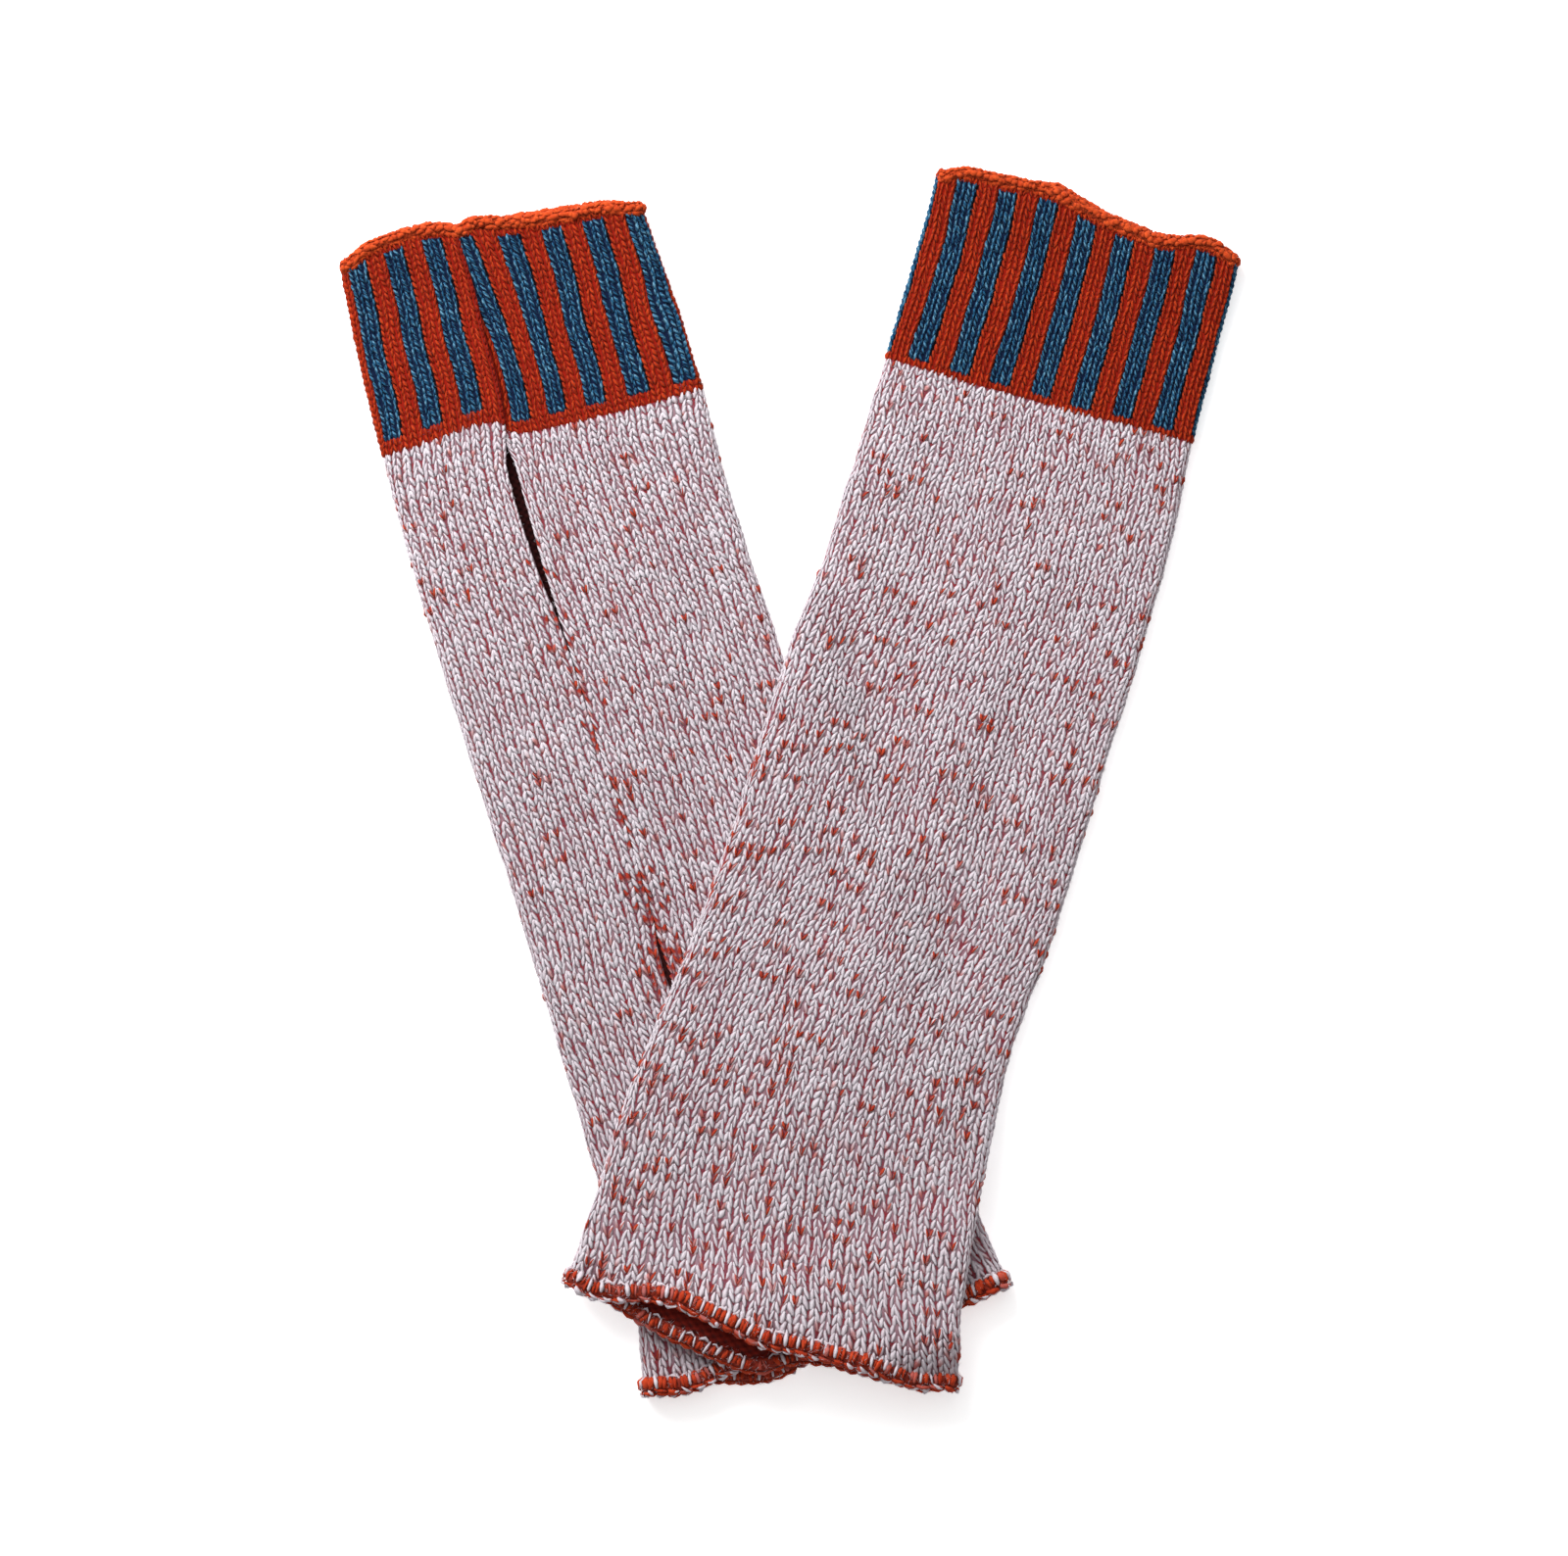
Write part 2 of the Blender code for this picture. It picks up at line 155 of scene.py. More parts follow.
UPPER_SEAM = table(
    Seam, (-6, 7.4, -0.3, 0.6), (25, 7.8, -0.5, 0.6), (47, 8.3, -0.3, 0.8), (57, 8.6, 1.1, 1.2),
    (70, 8.9, 1.7, 1.3), (80, 9.2, 1.2, 1.3), (88, 9.2, 0.4, 1.1), (95, 9.2, -0.3, 0.8),
    (110, 9.2, -0.7, 0.3), (150, 9, -0.7, 0.3), (310, 7, -0.7, 0.3))

# %% [markdown]
# ## Creases listed one by one
#
# A flat-laid knit isn't a board. It has long soft troughs and swells a few tenths of a millimetre
# to a millimetre deep, which show as broad light and dark. Each row here is one of them: its two
# ends in the warmer's own frame, its half width, and its height, negative for a trough.

# %% Crease tables
Crease = namedtuple("Crease", "x0 along0 x1 along1 half_width height")
RIPPLE_HEIGHT, RIPPLE_LENGTH = 0.12, 26  # small unevenness all over, in mm
LOWER_CREASES = table(
    Crease, (-13, 100, -12, 190, 5, -0.5), (-12, 180, -12, 208, 4.5, -1.7),
    (0, 158, -6, 200, 6, -0.7), (18, 118, 6, 172, 5, -0.5), (-27, 60, -30, 130, 9, 0.5),
    (-26, 150, -28, 220, 8, 0.4), (10, 60, 14, 110, 10, 0.5), (-38, 215, -30, 260, 6, -0.4),
    (30, 56, 28, 100, 7, -0.3), (-20, 8, -22, 40, 6, 0.3), (24, 6, 22, 40, 8, 0.3),
    (8, 10, 10, 44, 4, -0.25))
UPPER_CREASES = table(
    Crease, (-30, 70, -34, 150, 7, 0.5), (-12, 90, -16, 190, 8, -0.45), (8, 120, 2, 215, 8, 0.6),
    (22, 110, 18, 200, 7, -0.45), (34, 150, 28, 230, 7, 0.45),
    (-30, 225, -22, 285, 8, -0.5), (-8, 232, -2, 292, 8, 0.55), (18, 240, 22, 290, 9, -0.4),
    (-24, 10, -25, 44, 7, 0.3), (2, 8, 0, 44, 7, -0.3), (26, 6, 27, 44, 8, 0.3))

# %% The two warmers: where each lies, how it leans in degrees, and its tables
Warmer = namedtuple(
    "Warmer", "name place lean seam_up drapes sides cuff_edge join hem seam creases")
UPPER = Warmer("upper", (33.8, 1.1), -16.2, False, True, UPPER_SIDES, UPPER_CUFF_EDGE,
               UPPER_JOIN, UPPER_HEM, UPPER_SEAM, UPPER_CREASES)
LOWER = Warmer("lower", (-32.0, -4.1), 16.5, True, False, LOWER_SIDES, LOWER_CUFF_EDGE,
               LOWER_JOIN, LOWER_HEM, LOWER_SEAM, LOWER_CREASES)
PLACES = ("lower", "upper")

# %% [markdown]
# ## Reading the tables
#
# A table has few rows, and the cloth needs thousands of places, so each column is read on a smooth
# cubic through its rows. numpy does that for a whole array of places at once.


# %% Table reader and small curves
def read(rows, key, column, at):
    """One column of a table at any places between its rows, on a cubic through them."""
    keys = np.array([getattr(row, key) for row in rows], float)
    values = np.array([getattr(row, column) for row in rows], float)
    index = np.arange(len(keys))
    before, after = np.maximum(index - 1, 0), np.minimum(index + 1, len(keys) - 1)
    slopes = (values[after] - values[before]) / (keys[after] - keys[before])
    at = np.clip(at, keys[0], keys[-1])
    low = np.clip(np.searchsorted(keys, at, side="right") - 1, 0, len(keys) - 2)
    step = keys[low + 1] - keys[low]
    share = (at - keys[low]) / step
    rise = values[low + 1] - values[low]
    bend = share * (1 - share) * ((slopes[low] * step - rise) * (1 - share)
                                  - (slopes[low + 1] * step - rise) * share)
    return values[low] + rise * share + bend


def smooth_step(share):
    share = np.clip(share, 0, 1)
    return share * share * (3 - 2 * share)


def mix(first, second, share):
    return first + (second - first) * share


def along_at(line, share, level):
    """Distance along of a line across the tube, between its lower layer and its upper one."""
    return mix(read(line, "share", "below", share), read(line, "share", "top", share), level)


def sides_at(warmer, along):
    """Reach of the left and right folds from a warmer's axis."""
    return (read(warmer.sides, "along", "left", along),
            read(warmer.sides, "along", "right", along))


def roll_rise(radius):
    """How much a wall climbs to lie on its own curled end."""
    return radius + ROLL_OUTSET + ROLL_FOOT - WALL / 2


def unit(vectors):
    """The same directions with length 1."""
    return vectors / np.maximum(np.linalg.norm(vectors, axis=-1, keepdims=True), 1e-9)


def waves(seed, x, y, length, count=7):
    """Smooth unevenness from -1 to 1: a few long waves in random directions."""
    rng = np.random.default_rng(seed)
    total = 0.0
    for _ in range(count):
        way, phase = rng.uniform(0, 2 * math.pi, 2)
        pace = 2 * math.pi / (length * rng.uniform(0.7, 1.6))
        total = total + np.sin(pace * (x * math.cos(way) + y * math.sin(way)) + phase)
    return total / count ** 0.5 / 1.4


hem_left, hem_right = sides_at(LOWER, 290.0)
print("girth of the lower warmer at its hem, mm:", round(float(
    2 * (hem_right - hem_left - FLAT_HEIGHT) + math.pi * FLAT_HEIGHT), 1))

# %% [markdown]
# ## The flat tube
#
# Going once round a flat tube from its seam, a place is told by its share of the full turn. The
# section is two straight layers and two half circles, so the turn gives a share of the way from
# the left fold to the right one, and the angle of the outward normal: 90 degrees on top, -90
# below. The upper warmer also rests on whatever is under it, either the table or the lower warmer.


# %% From a turn round the tube to a point
def column_at(warmer, along, turn):
    """Share across the flat tube and angle of the outward normal, for a share of a full turn."""
    left, right = sides_at(warmer, along)
    seam = read(warmer.seam, "along", "across", along)
    flat, fold = right - left - FLAT_HEIGHT, math.pi * FOLD_RADIUS
    from_top = seam - left - FOLD_RADIUS
    start = from_top if warmer.seam_up else 2 * flat + fold - from_top
    arc = np.mod(start + turn * 2 * (flat + fold), 2 * (flat + fold))
    on_top = np.clip(arc, 0, flat)
    right_fold = np.clip(arc - flat, 0, fold)
    below = np.clip(arc - flat - fold, 0, flat)
    left_fold = np.clip(arc - 2 * flat - fold, 0, fold)
    share = np.clip((on_top - below) / flat, 0, 1)
    angle = math.pi / 2 - math.pi * (right_fold + left_fold) / fold
    return share, angle, 2 * (flat + fold)


def to_frame(warmer, x, y):
    """A point of a warmer's own frame in the shared frame."""
    turn = math.radians(warmer.lean)
    return (warmer.place[0] + x * math.cos(turn) - y * math.sin(turn),
            warmer.place[1] + x * math.sin(turn) + y * math.cos(turn))


def placed(warmer, point):
    """Points of a warmer's own frame, as stacked coordinates, in the shared frame."""
    return np.stack([*to_frame(warmer, point[..., 0], point[..., 1]), point[..., 2]], -1)


def from_frame(warmer, x, y):
    """A point of the shared frame in a warmer's own frame."""
    turn = math.radians(warmer.lean)
    x, y = x - warmer.place[0], y - warmer.place[1]
    return x * math.cos(turn) + y * math.sin(turn), y * math.cos(turn) - x * math.sin(turn)


def support_height(warmer, x, y):
    """Height of what the upper warmer's underside lies on."""
    if not warmer.drapes:
        return 0.0 * x
    below_x, below_y = from_frame(LOWER, *to_frame(warmer, x, y))
    along = HALF_LENGTH - below_y
    left, right = sides_at(LOWER, along)
    share = np.clip((below_x - left) / (right - left), 0, 1)
    cuff_end, hem_end = along_at(LOWER.cuff_edge, share, 1), along_at(LOWER.hem, share, 1)
    sideways = np.maximum(np.maximum(left - below_x, below_x - right), 0)
    lengthways = np.maximum(np.maximum(cuff_end - along, along - hem_end), 0)
    outside = np.hypot(sideways, lengthways)
    falling = np.clip((outside - DRAPE_SHELF) / DRAPE_FALL, 0, 1)
    climb = smooth_step(1 - (hem_end - HEM_RIDGE - along) / CLIMB_LENGTH)
    top = FLAT_HEIGHT + 2 * roll_rise(HEM_ROLL_RADIUS) * climb
    return (top + CLEARANCE) * (1 + np.cos(math.pi * falling)) / 2


def crease_height(warmer, x, along):
    """Height of all the listed creases at a place on the upper layer."""
    total = RIPPLE_HEIGHT * waves(5, x, along, RIPPLE_LENGTH)
    for crease in warmer.creases:
        dx, dy = crease.x1 - crease.x0, crease.along1 - crease.along0
        length = math.hypot(dx, dy)
        ahead = ((x - crease.x0) * dx + (along - crease.along0) * dy) / length
        aside = ((x - crease.x0) * dy - (along - crease.along0) * dx) / length
        past = np.maximum(np.maximum(-ahead, ahead - length), 0)
        total = total + crease.height * np.exp(
            -(aside / crease.half_width) ** 2 - (past / (2 * crease.half_width)) ** 2)
    return total


def tube_point(warmer, share, angle, along, inset=0.0):
    """A point of the outside of the flat tube in its own frame, moved in by inset."""
    level = (1 + np.sin(angle)) / 2
    left, right = sides_at(warmer, along)
    to_cuff_end = along - along_at(warmer.cuff_edge, share, level)
    to_hem_end = along_at(warmer.hem, share, level) - along
    rise = roll_rise(CUFF_ROLL_RADIUS) * smooth_step(1 - to_cuff_end / CLIMB_LENGTH)
    rise = rise + roll_rise(HEM_ROLL_RADIUS) * smooth_step(1 - to_hem_end / CLIMB_LENGTH)
    if warmer.drapes:
        across_mouth = smooth_step(1 - np.abs(share - MOUTH_CENTRE) / MOUTH_CENTRE)
        rise = rise + (MOUTH_LIFT * across_mouth * level
                       * smooth_step(1 - to_hem_end / MOUTH_LENGTH))
    reach = FOLD_RADIUS - inset
    x = mix(left + FOLD_RADIUS, right - FOLD_RADIUS, share) + reach * np.cos(angle)
    y = HALF_LENGTH - along
    z = FOLD_RADIUS + rise + reach * np.sin(angle)
    away = np.minimum(smooth_step(to_cuff_end / CUFF_CALM), smooth_step(to_hem_end / HEM_CALM))
    z = z + crease_height(warmer, x, along) * level ** 2 * away
    return np.stack([x, y, z + support_height(warmer, x, y)], -1)


# %% [markdown]
# ## Counting in stitches
#
# Knitting is counted in wales, the columns of stitches, and courses, the rows. A `Knit` turns a
# place counted that way into a point. It works out a fine grid of points and outward normals once
# and reads between them, so tens of thousands of stitches can be placed in one call. Each stitch
# then follows the folds, the drape, the creases and the lips of the seam by itself.


# %% The knitted panels
# How far each effect of the seam reaches from it, in mm
GAP_REACH, TUCK_REACH, SLIDE_PEAK, LIP_WIDTH, RISE_REACH = 5, 14, 30, 1.8, 3.5
SLIDE_END, SLIDE_FADE = 54, 12
WALE_WANDER, COURSE_WANDER = 13, 19  # lengths of the waves in the lines of stitches, in mm


class Knit:
    """One knitted panel closed into a tube, from one line across the warmer to another."""

    over = 2.0  # courses that the grid runs on past both ends

    def __init__(self, warmer, first, last, wales, courses, first_gap, last_gap, seed,
                 stretch=0.0, wander=0.24):
        self.warmer, self.wales, self.courses, self.seed = warmer, wales, courses, seed
        turns = np.linspace(0, 1, wales * 8 + 1)
        rows = np.linspace(-self.over, courses + self.over, courses * 3 + 13) / courses
        rows = rows + stretch * rows * (rows - 1)
        turn, row = np.meshgrid(turns, rows)
        start = along_at(first, 0.5, 0.5) + first_gap
        end = along_at(last, 0.5, 0.5) - last_gap
        share, angle, girth = column_at(warmer, mix(start, end, row), turn)
        level = (1 + np.sin(angle)) / 2
        inside = np.clip(share, 0.07, 0.93)
        along = mix(along_at(first, inside, level) + first_gap,
                    along_at(last, inside, level) - last_gap, row)
        self.along, self.share, self.level = along, share, level
        self.girth, self.length = float(girth.mean()), float(end - start)
        self.wale_pitch, self.course_pitch = self.girth / wales, self.length / courses
        point = tube_point(warmer, share, angle, along)
        self.lay_seam(point, turn, girth, along)
        steady = np.minimum(1, 4 * np.minimum(turn, 1 - turn))
        round_tube = turn * girth
        point[..., 0] += wander * waves(seed, round_tube, along, WALE_WANDER) * steady * level
        point[..., 1] += 0.35 * waves(seed + 1, round_tube, along, COURSE_WANDER) * level
        self.points = placed(warmer, point)
        across = np.gradient(self.points, axis=1)
        down = np.gradient(self.points, axis=0)
        self.normals = unit(np.cross(down, across))

    def lay_seam(self, point, turn, girth, along):
        """Opens, overlaps and curls in the two edges of the panel where they meet."""
        side = np.where(turn < 0.5, 1.0, -1.0)
        away = np.minimum(turn, 1 - turn) * girth
        facing = 1.0 if self.warmer.seam_up else -1.0
        seam = {name: read(self.warmer.seam, "along", name, along) for name in Seam._fields[2:]}
        spread = side * seam["gap"] / 2 * np.exp(-away / GAP_REACH)
        slid = (away / SLIDE_PEAK) ** 2 * np.exp(2 - away / (SLIDE_PEAK / 2))
        slid = slid * smooth_step((SLIDE_END - away) / SLIDE_FADE)
        tucked = (seam["tuck"] * np.exp(-away / TUCK_REACH) + seam["slide"] * slid) * (side > 0)
        point[..., 0] += facing * (spread - tucked)
        on_top = np.where(side > 0, np.clip(1 - seam["tuck"], 0, 1), 1)
        curled = seam["curl"] * np.clip(1 - away / LIP_WIDTH, 0, 1) ** 2 * on_top
        raised = np.where(side > 0, -seam["drop"], seam["rise"])
        raised = np.exp(-(away / RISE_REACH) ** 2) * raised
        point[..., 2] += facing * (raised - curled)

    def on_grid(self, wale, course):
        """The column and the row of the fine grid that a place falls on, with their fractions."""
        rows, columns = self.level.shape
        down = np.clip((course + self.over) / (self.courses + 2 * self.over), 0, 1)
        return np.clip(wale / self.wales, 0, 1) * (columns - 1), down * (rows - 1)

    def place(self, wale, course, height):
        """Points at these wales and courses, this far out from the finished surface."""
        rows, columns = self.level.shape
        across, down = self.on_grid(wale, course)
        i, j = np.minimum(across.astype(int), columns - 2), np.minimum(down.astype(int), rows - 2)
        s, t = (across - i)[..., None], (down - j)[..., None]
        corners = ((1 - s) * (1 - t), s * (1 - t), (1 - s) * t, s * t)
        places = ((j, i), (j, i + 1), (j + 1, i), (j + 1, i + 1))
        point, normal = (sum(weight * grid[where] for weight, where in zip(corners, places))
                         for grid in (self.points, self.normals))
        return point + normal * np.asarray(height)[..., None]

    def about(self, name, wale, course):
        """Another grid of this panel (along, share or level) at the nearest places."""
        across, down = self.on_grid(wale, course)
        return getattr(self, name)[np.rint(down).astype(int), np.rint(across).astype(int)]

    def at_stitch(self, name, wale, course):
        return self.about(name, wale + 0.5, course + 0.5)


JOIN_GAP, CUFF_END, HEM_END = 0.0, 2.3, 3.2  # from each line to the first stitches, in mm
EASED = (0.12, 0.36)  # a sleeve's courses grow longer towards the hem, and its wales wander more
KNITS = {
    "lower_cuff": Knit(LOWER, LOWER.cuff_edge, LOWER.join, 65, 30, CUFF_END, JOIN_GAP, 11),
    "lower_sleeve": Knit(LOWER, LOWER.join, LOWER.hem, 66, 122, JOIN_GAP, HEM_END, 13,
                         *EASED),
    "upper_cuff": Knit(UPPER, UPPER.cuff_edge, UPPER.join, 63, 30, CUFF_END, JOIN_GAP, 17),
    "upper_sleeve": Knit(UPPER, UPPER.join, UPPER.hem, 66, 124, JOIN_GAP, HEM_END, 19,
                         *EASED),
}
for name, knit in KNITS.items():
    print(name, "girth", round(knit.girth, 1), "length", round(knit.length, 1),
          "wale", round(knit.wale_pitch, 2), "course", round(knit.course_pitch, 2))


# %% [markdown]
# ## Making meshes
#
# One helper turns arrays into a mesh in metres. It also keeps what the materials read: a number on
# each point, and maps that run along a yarn or count stitches. Another gives the quads of a grid
# of points, and two more add a thing to the scene and print how many faces it has.


# %% Mesh helpers
def add_object(name, data, place=(0, 0, 0)):
    """Puts a mesh, light or camera in the scene."""
    made = bpy.data.objects.new(name, data)
    made.location = place
    bpy.context.scene.collection.objects.link(made)
    return made


def show(pieces):
    """Prints the name of each piece and how many faces it has."""
    for piece in pieces:
        print(piece.name, len(piece.data.polygons), "faces")


def grid_quads(index):
    """The quads between the points of a grid, given as an array of their numbers."""
    quads = np.stack([index[:-1, :-1], index[1:, :-1], index[1:, 1:], index[:-1, 1:]], -1)
    return quads.reshape(-1, 4)


def make_mesh(name, points, faces, materials, numbers=None, maps=None, slots=None):
    """A smooth mesh from arrays: points in mm, faces with equal corner counts, point numbers."""
    faces, points = np.asarray(faces), np.array(points)
    points[:, 2] = np.maximum(points[:, 2], 0)  # the lowest stitches are pressed flat
    mesh = bpy.data.meshes.new(name)
    mesh.vertices.add(len(points))
    mesh.vertices.foreach_set("co", (points * MM).astype(np.float32).ravel())
    mesh.loops.add(faces.size)
    mesh.loops.foreach_set("vertex_index", faces.astype(np.int32).ravel())
    mesh.polygons.add(len(faces))
    mesh.polygons.foreach_set(
        "loop_start", np.arange(0, faces.size, faces.shape[1], dtype=np.int32))
    mesh.update(calc_edges=True)
    mesh.polygons.foreach_set("use_smooth", np.ones(len(faces), bool))
    for key, values in (numbers or {}).items():
        layer = mesh.attributes.new(key, "FLOAT", "POINT")
        layer.data.foreach_set("value", np.asarray(values, np.float32).ravel())
    for key, places in (maps or {}).items():
        layer = mesh.uv_layers.new(name=key, do_init=False)
        layer.uv.foreach_set("vector", np.asarray(places, np.float32).ravel())
    for material in materials:
        mesh.materials.append(material)
    if slots is not None:
        mesh.polygons.foreach_set("material_index", np.asarray(slots, np.int32))
    mesh.validate()
    return add_object(name, mesh)


# %% [markdown]
# ## Shader maths written as Python
#
# A material is a small sum over the surface. `Value` wraps one output of a node, and Python's own
# signs on it add the Math nodes, so a mask reads as `1 - mask * 0.5`. `Look.node` adds any other
# node: its type, its settings, and what its sockets hold.


# %% Node helpers
class Value:
    """A number, colour or vector in a node tree."""

    def __init__(self, look, socket):
        self.look, self.socket = look, socket

    def math(self, operation, *others):
        return self.look.node("Math", {"operation": operation},
                              dict(enumerate((self, *others))))

    def __add__(self, other):
        return self.math("ADD", other)

    def __sub__(self, other):
        return self.math("SUBTRACT", other)

    def __rsub__(self, other):
        return self.look.node("Math", {"operation": "SUBTRACT"}, {0: other, 1: self})

    def __mul__(self, other):
        return self.math("MULTIPLY", other)

    def __truediv__(self, other):
        return self.math("DIVIDE", other)

    __radd__, __rmul__ = __add__, __mul__

    def clamped(self):
        return self.look.node("Clamp", {}, {0: self})

    def sharpened(self, low, high):
        """0 below low, 1 above high, smooth between."""
        return self.look.node("MapRange", {"interpolation_type": "SMOOTHSTEP"},
                              {"Value": self, "From Min": low, "From Max": high})


class Look:
    """A material under construction."""

    def __init__(self, name):
        self.material = bpy.data.materials.new(name)
        self.material.use_nodes = True
        self.tree = self.material.node_tree
        self.tree.nodes.clear()

    def node(self, kind, settings=None, sockets=None, output=0):
        """Adds a shader node: its settings first, then each socket's value or link."""
        made = self.tree.nodes.new("ShaderNode" + kind)
        for name, value in (settings or {}).items():
            setattr(made, name, value)
        for name, value in (sockets or {}).items():
            if isinstance(value, Value):
                self.tree.links.new(value.socket, made.inputs[name])
            else:
                made.inputs[name].default_value = value
        return Value(self, made.outputs[output])

    def blend(self, first, second, share):
        """A colour between two colours."""
        first, second = (c if isinstance(c, Value) else (*c, 1) for c in (first, second))
        return self.node("Mix", {"data_type": "RGBA"},
                         {0: share, 6: first, 7: second}, output=2)

    def number(self, name):
        """A number kept on the mesh's points."""
        return self.node("Attribute", {"attribute_name": name}, output=2)

    def map(self, name):
        """Both axes of a map kept on the mesh."""
        found = self.node("UVMap", {"uv_map": name})
        axes = self.node("SeparateXYZ", {}, {0: found})
        return axes, Value(self, axes.socket.node.outputs[1])

    def noise(self, scale, detail=2.0, roughness=0.5, where=None):
        """Noise from 0 to 1, in metres in the shared frame or over another vector."""
        where = where or self.node("TexCoord", output=3)
        return self.node("TexNoise", {}, {
            "Vector": where, "Scale": scale, "Detail": detail, "Roughness": roughness})

    def finish(self, colour, roughness, height, sheen, bump=0.4, distance=0.00015):
        """Joins it all in one cloth shader and returns the material."""
        normal = self.node("Bump", {}, {
            "Strength": bump, "Distance": distance, "Height": height})
        shader = self.node("BsdfPrincipled", {}, {
            "Base Color": colour, "Roughness": roughness, "Normal": normal,
            "Sheen Weight": sheen, "Sheen Roughness": 0.6, "Specular IOR Level": 0.05})
        end = self.tree.nodes.new("ShaderNodeOutputMaterial")
        self.tree.links.new(shader.socket, end.inputs["Surface"])
        return self.material


def colour(red, green, blue):
    """A colour given as 0 to 255 on a screen, as the light it stands for."""
    return tuple((c / 255 / 12.92) if c <= 10 else ((c / 255 + 0.055) / 1.055) ** 2.4
                 for c in (red, green, blue))


# %% [markdown]
# ## The yarns
#
# The sleeve is knitted from two yarns at once: a pale lilac-white one in front and an orange-red
# one plated behind it. The cuff has an orange yarn and a marled blue one, in which a light ply and
# a dark ply are twisted together. All are slightly hairy wool, so they are matt with a little
# sheen. Each strand carries a map that runs along it in millimetres, and the twist of the plies
# is drawn as slanted bands on that map.

# %% Yarn colours
PALE, PALE_SHADE = colour(222, 217, 223), colour(192, 172, 180)
ORANGE, ORANGE_DEEP = colour(206, 72, 26), colour(120, 10, 4)
FLECK, FLECK_DEEP = colour(204, 79, 47), colour(140, 37, 33)
EDGE, EDGE_DEEP = colour(216, 90, 40), colour(164, 44, 16)
HEM, HEM_DEEP = colour(214, 82, 44), colour(144, 30, 16)
TEAL, BLUE, NAVY = colour(118, 166, 188), colour(32, 90, 126), colour(6, 22, 54)
# The sleeve's ground: crimson and wine are the back yarn in painted shadow, lilac is the pale yarn
# in painted shade
CRIMSON, WINE, LILAC_SHADE = colour(133, 44, 52), colour(122, 76, 88), colour(176, 152, 161)
# Painted shade: on the sides of the pale legs (mixed with the back yarn seen there), deep inside
# the tube, and in the gap where a cuff stripe changes colour
SIDE_SHADE_AND_BACK_YARN, INSIDE_SHADOW, STRIPE_GAP_SHADOW = colour(156, 124, 136), colour(26, 6, 8), colour(10, 2, 8)
PLY_LENGTH = 1.7  # of one turn of the twist, in mm


# %% Yarn materials
def yarn_look(name, deep, bright, marled=False):
    """A yarn whose 'plate' number turns it from its own colour (0) to an orange one (1)."""
    look = Look(name)
    run, side = look.map("Yarn")
    tint, plate = look.number("tint"), look.number("plate")
    from_ridge = (side + 1 / 3).math("ABSOLUTE") * 1.5
    strand = look.node("CombineXYZ", {}, {0: run, 1: side * 3.4, 2: tint * 90})
    fibre = look.noise(2.6, 3.0, 0.65, strand)
    turns = run * (1 / PLY_LENGTH) + side * 0.75 + tint * 7
    twist = (turns * (2 * math.pi)).math("SINE") * 0.5 + 0.5
    orange_share = (twist * 0.18 + fibre * 0.9 + tint * 0.3 - 0.25).clamped()
    orange = look.blend(deep, bright, orange_share)
    if marled:
        light = (twist * 0.42 + fibre * 1.3 + tint * 0.35 - 0.62).clamped()
        cool = look.blend(NAVY, BLUE, light.sharpened(0.05, 0.45))
        own = look.blend(cool, TEAL, light.sharpened(0.42, 0.9) * 0.85)
    else:
        share = (twist * 0.14 + fibre * 1.2 + tint * 0.35 - 0.27).clamped()
        own = look.blend(PALE_SHADE, PALE, share)
        # Painted shade on the sides of each pale leg, where it turns away, mixed with the colour
        # of the back yarn that shows beside it
        rim = from_ridge.sharpened(0.6, 1.05) * 0.15
        own = look.blend(own, SIDE_SHADE_AND_BACK_YARN, rim)
    shade = look.blend(own, orange, plate)
    return look.finish(shade, 0.9, fibre * 0.8 + twist * 0.3, 0.03, 0.6, 0.0002)


sleeve_yarn = yarn_look("sleeve_yarn", FLECK_DEEP, FLECK)
cuff_yarn = yarn_look("cuff_yarn", ORANGE_DEEP, ORANGE, marled=True)
edge_yarn = yarn_look("edge_yarn", EDGE_DEEP, EDGE)
hem_yarn = yarn_look("hem_yarn", HEM_DEEP, HEM)
print("yarns:", sleeve_yarn.name, cuff_yarn.name, edge_yarn.name, hem_yarn.name)

# %% [markdown]
# ## What shows between the stitches
#
# Under the legs of the stitches lies the body of the fabric, in their shadow, so its colours are
# those of its yarns with painted shade. In the sleeve it is the orange back yarn in painted
# shadow: crimson down the middle of each wale, and a dull lilac, the pale yarn in painted shade,
# where two wales meet. In the cuff it is deep red under orange wales and navy under blue ones,
# the same yarns in painted shade, with a nearly black line of painted shadow in the gap where the
# colour changes. The inside of the tube is the purl side: rows of small orange bumps, with
# painted shade between the bumps and, in the sleeve, painted shadow deep inside the tube.


# %% Ground materials
def sleeve_ground():
    look = Look("sleeve_ground")
    wale, course = look.map("Stitch")
    from_middle = (wale.math("FRACT") - 0.5).math("ABSOLUTE") * 2
    row = look.node("CombineXYZ", {}, {0: wale * 0.45, 1: course * 1.15})
    runs = look.noise(1.0, 2.0, 0.6, row)
    fine = look.noise(1500, 3, 0.6)
    # Painted shade between the legs: the back yarn in shadow, more crimson in runs along the
    # courses, and the pale yarn in shade where the wales meet
    warm = look.blend(WINE, CRIMSON, (runs * 3.4 + fine * 0.9 - 1.60).clamped())
    between = look.blend(WINE, LILAC_SHADE, (fine * 1.2 - 0.1).clamped())
    shade = look.blend(warm, between, from_middle.sharpened(0.35, 0.85) * 0.85)
    return look.finish(shade, 0.92, fine, 0.05)


# The stripes of the cuff: two blue wales in every four, between these two courses
REPEAT, FIRST_BLUE = 4, 1
BLUE_COURSES = {"lower": (1, 28), "upper": (1, 29)}


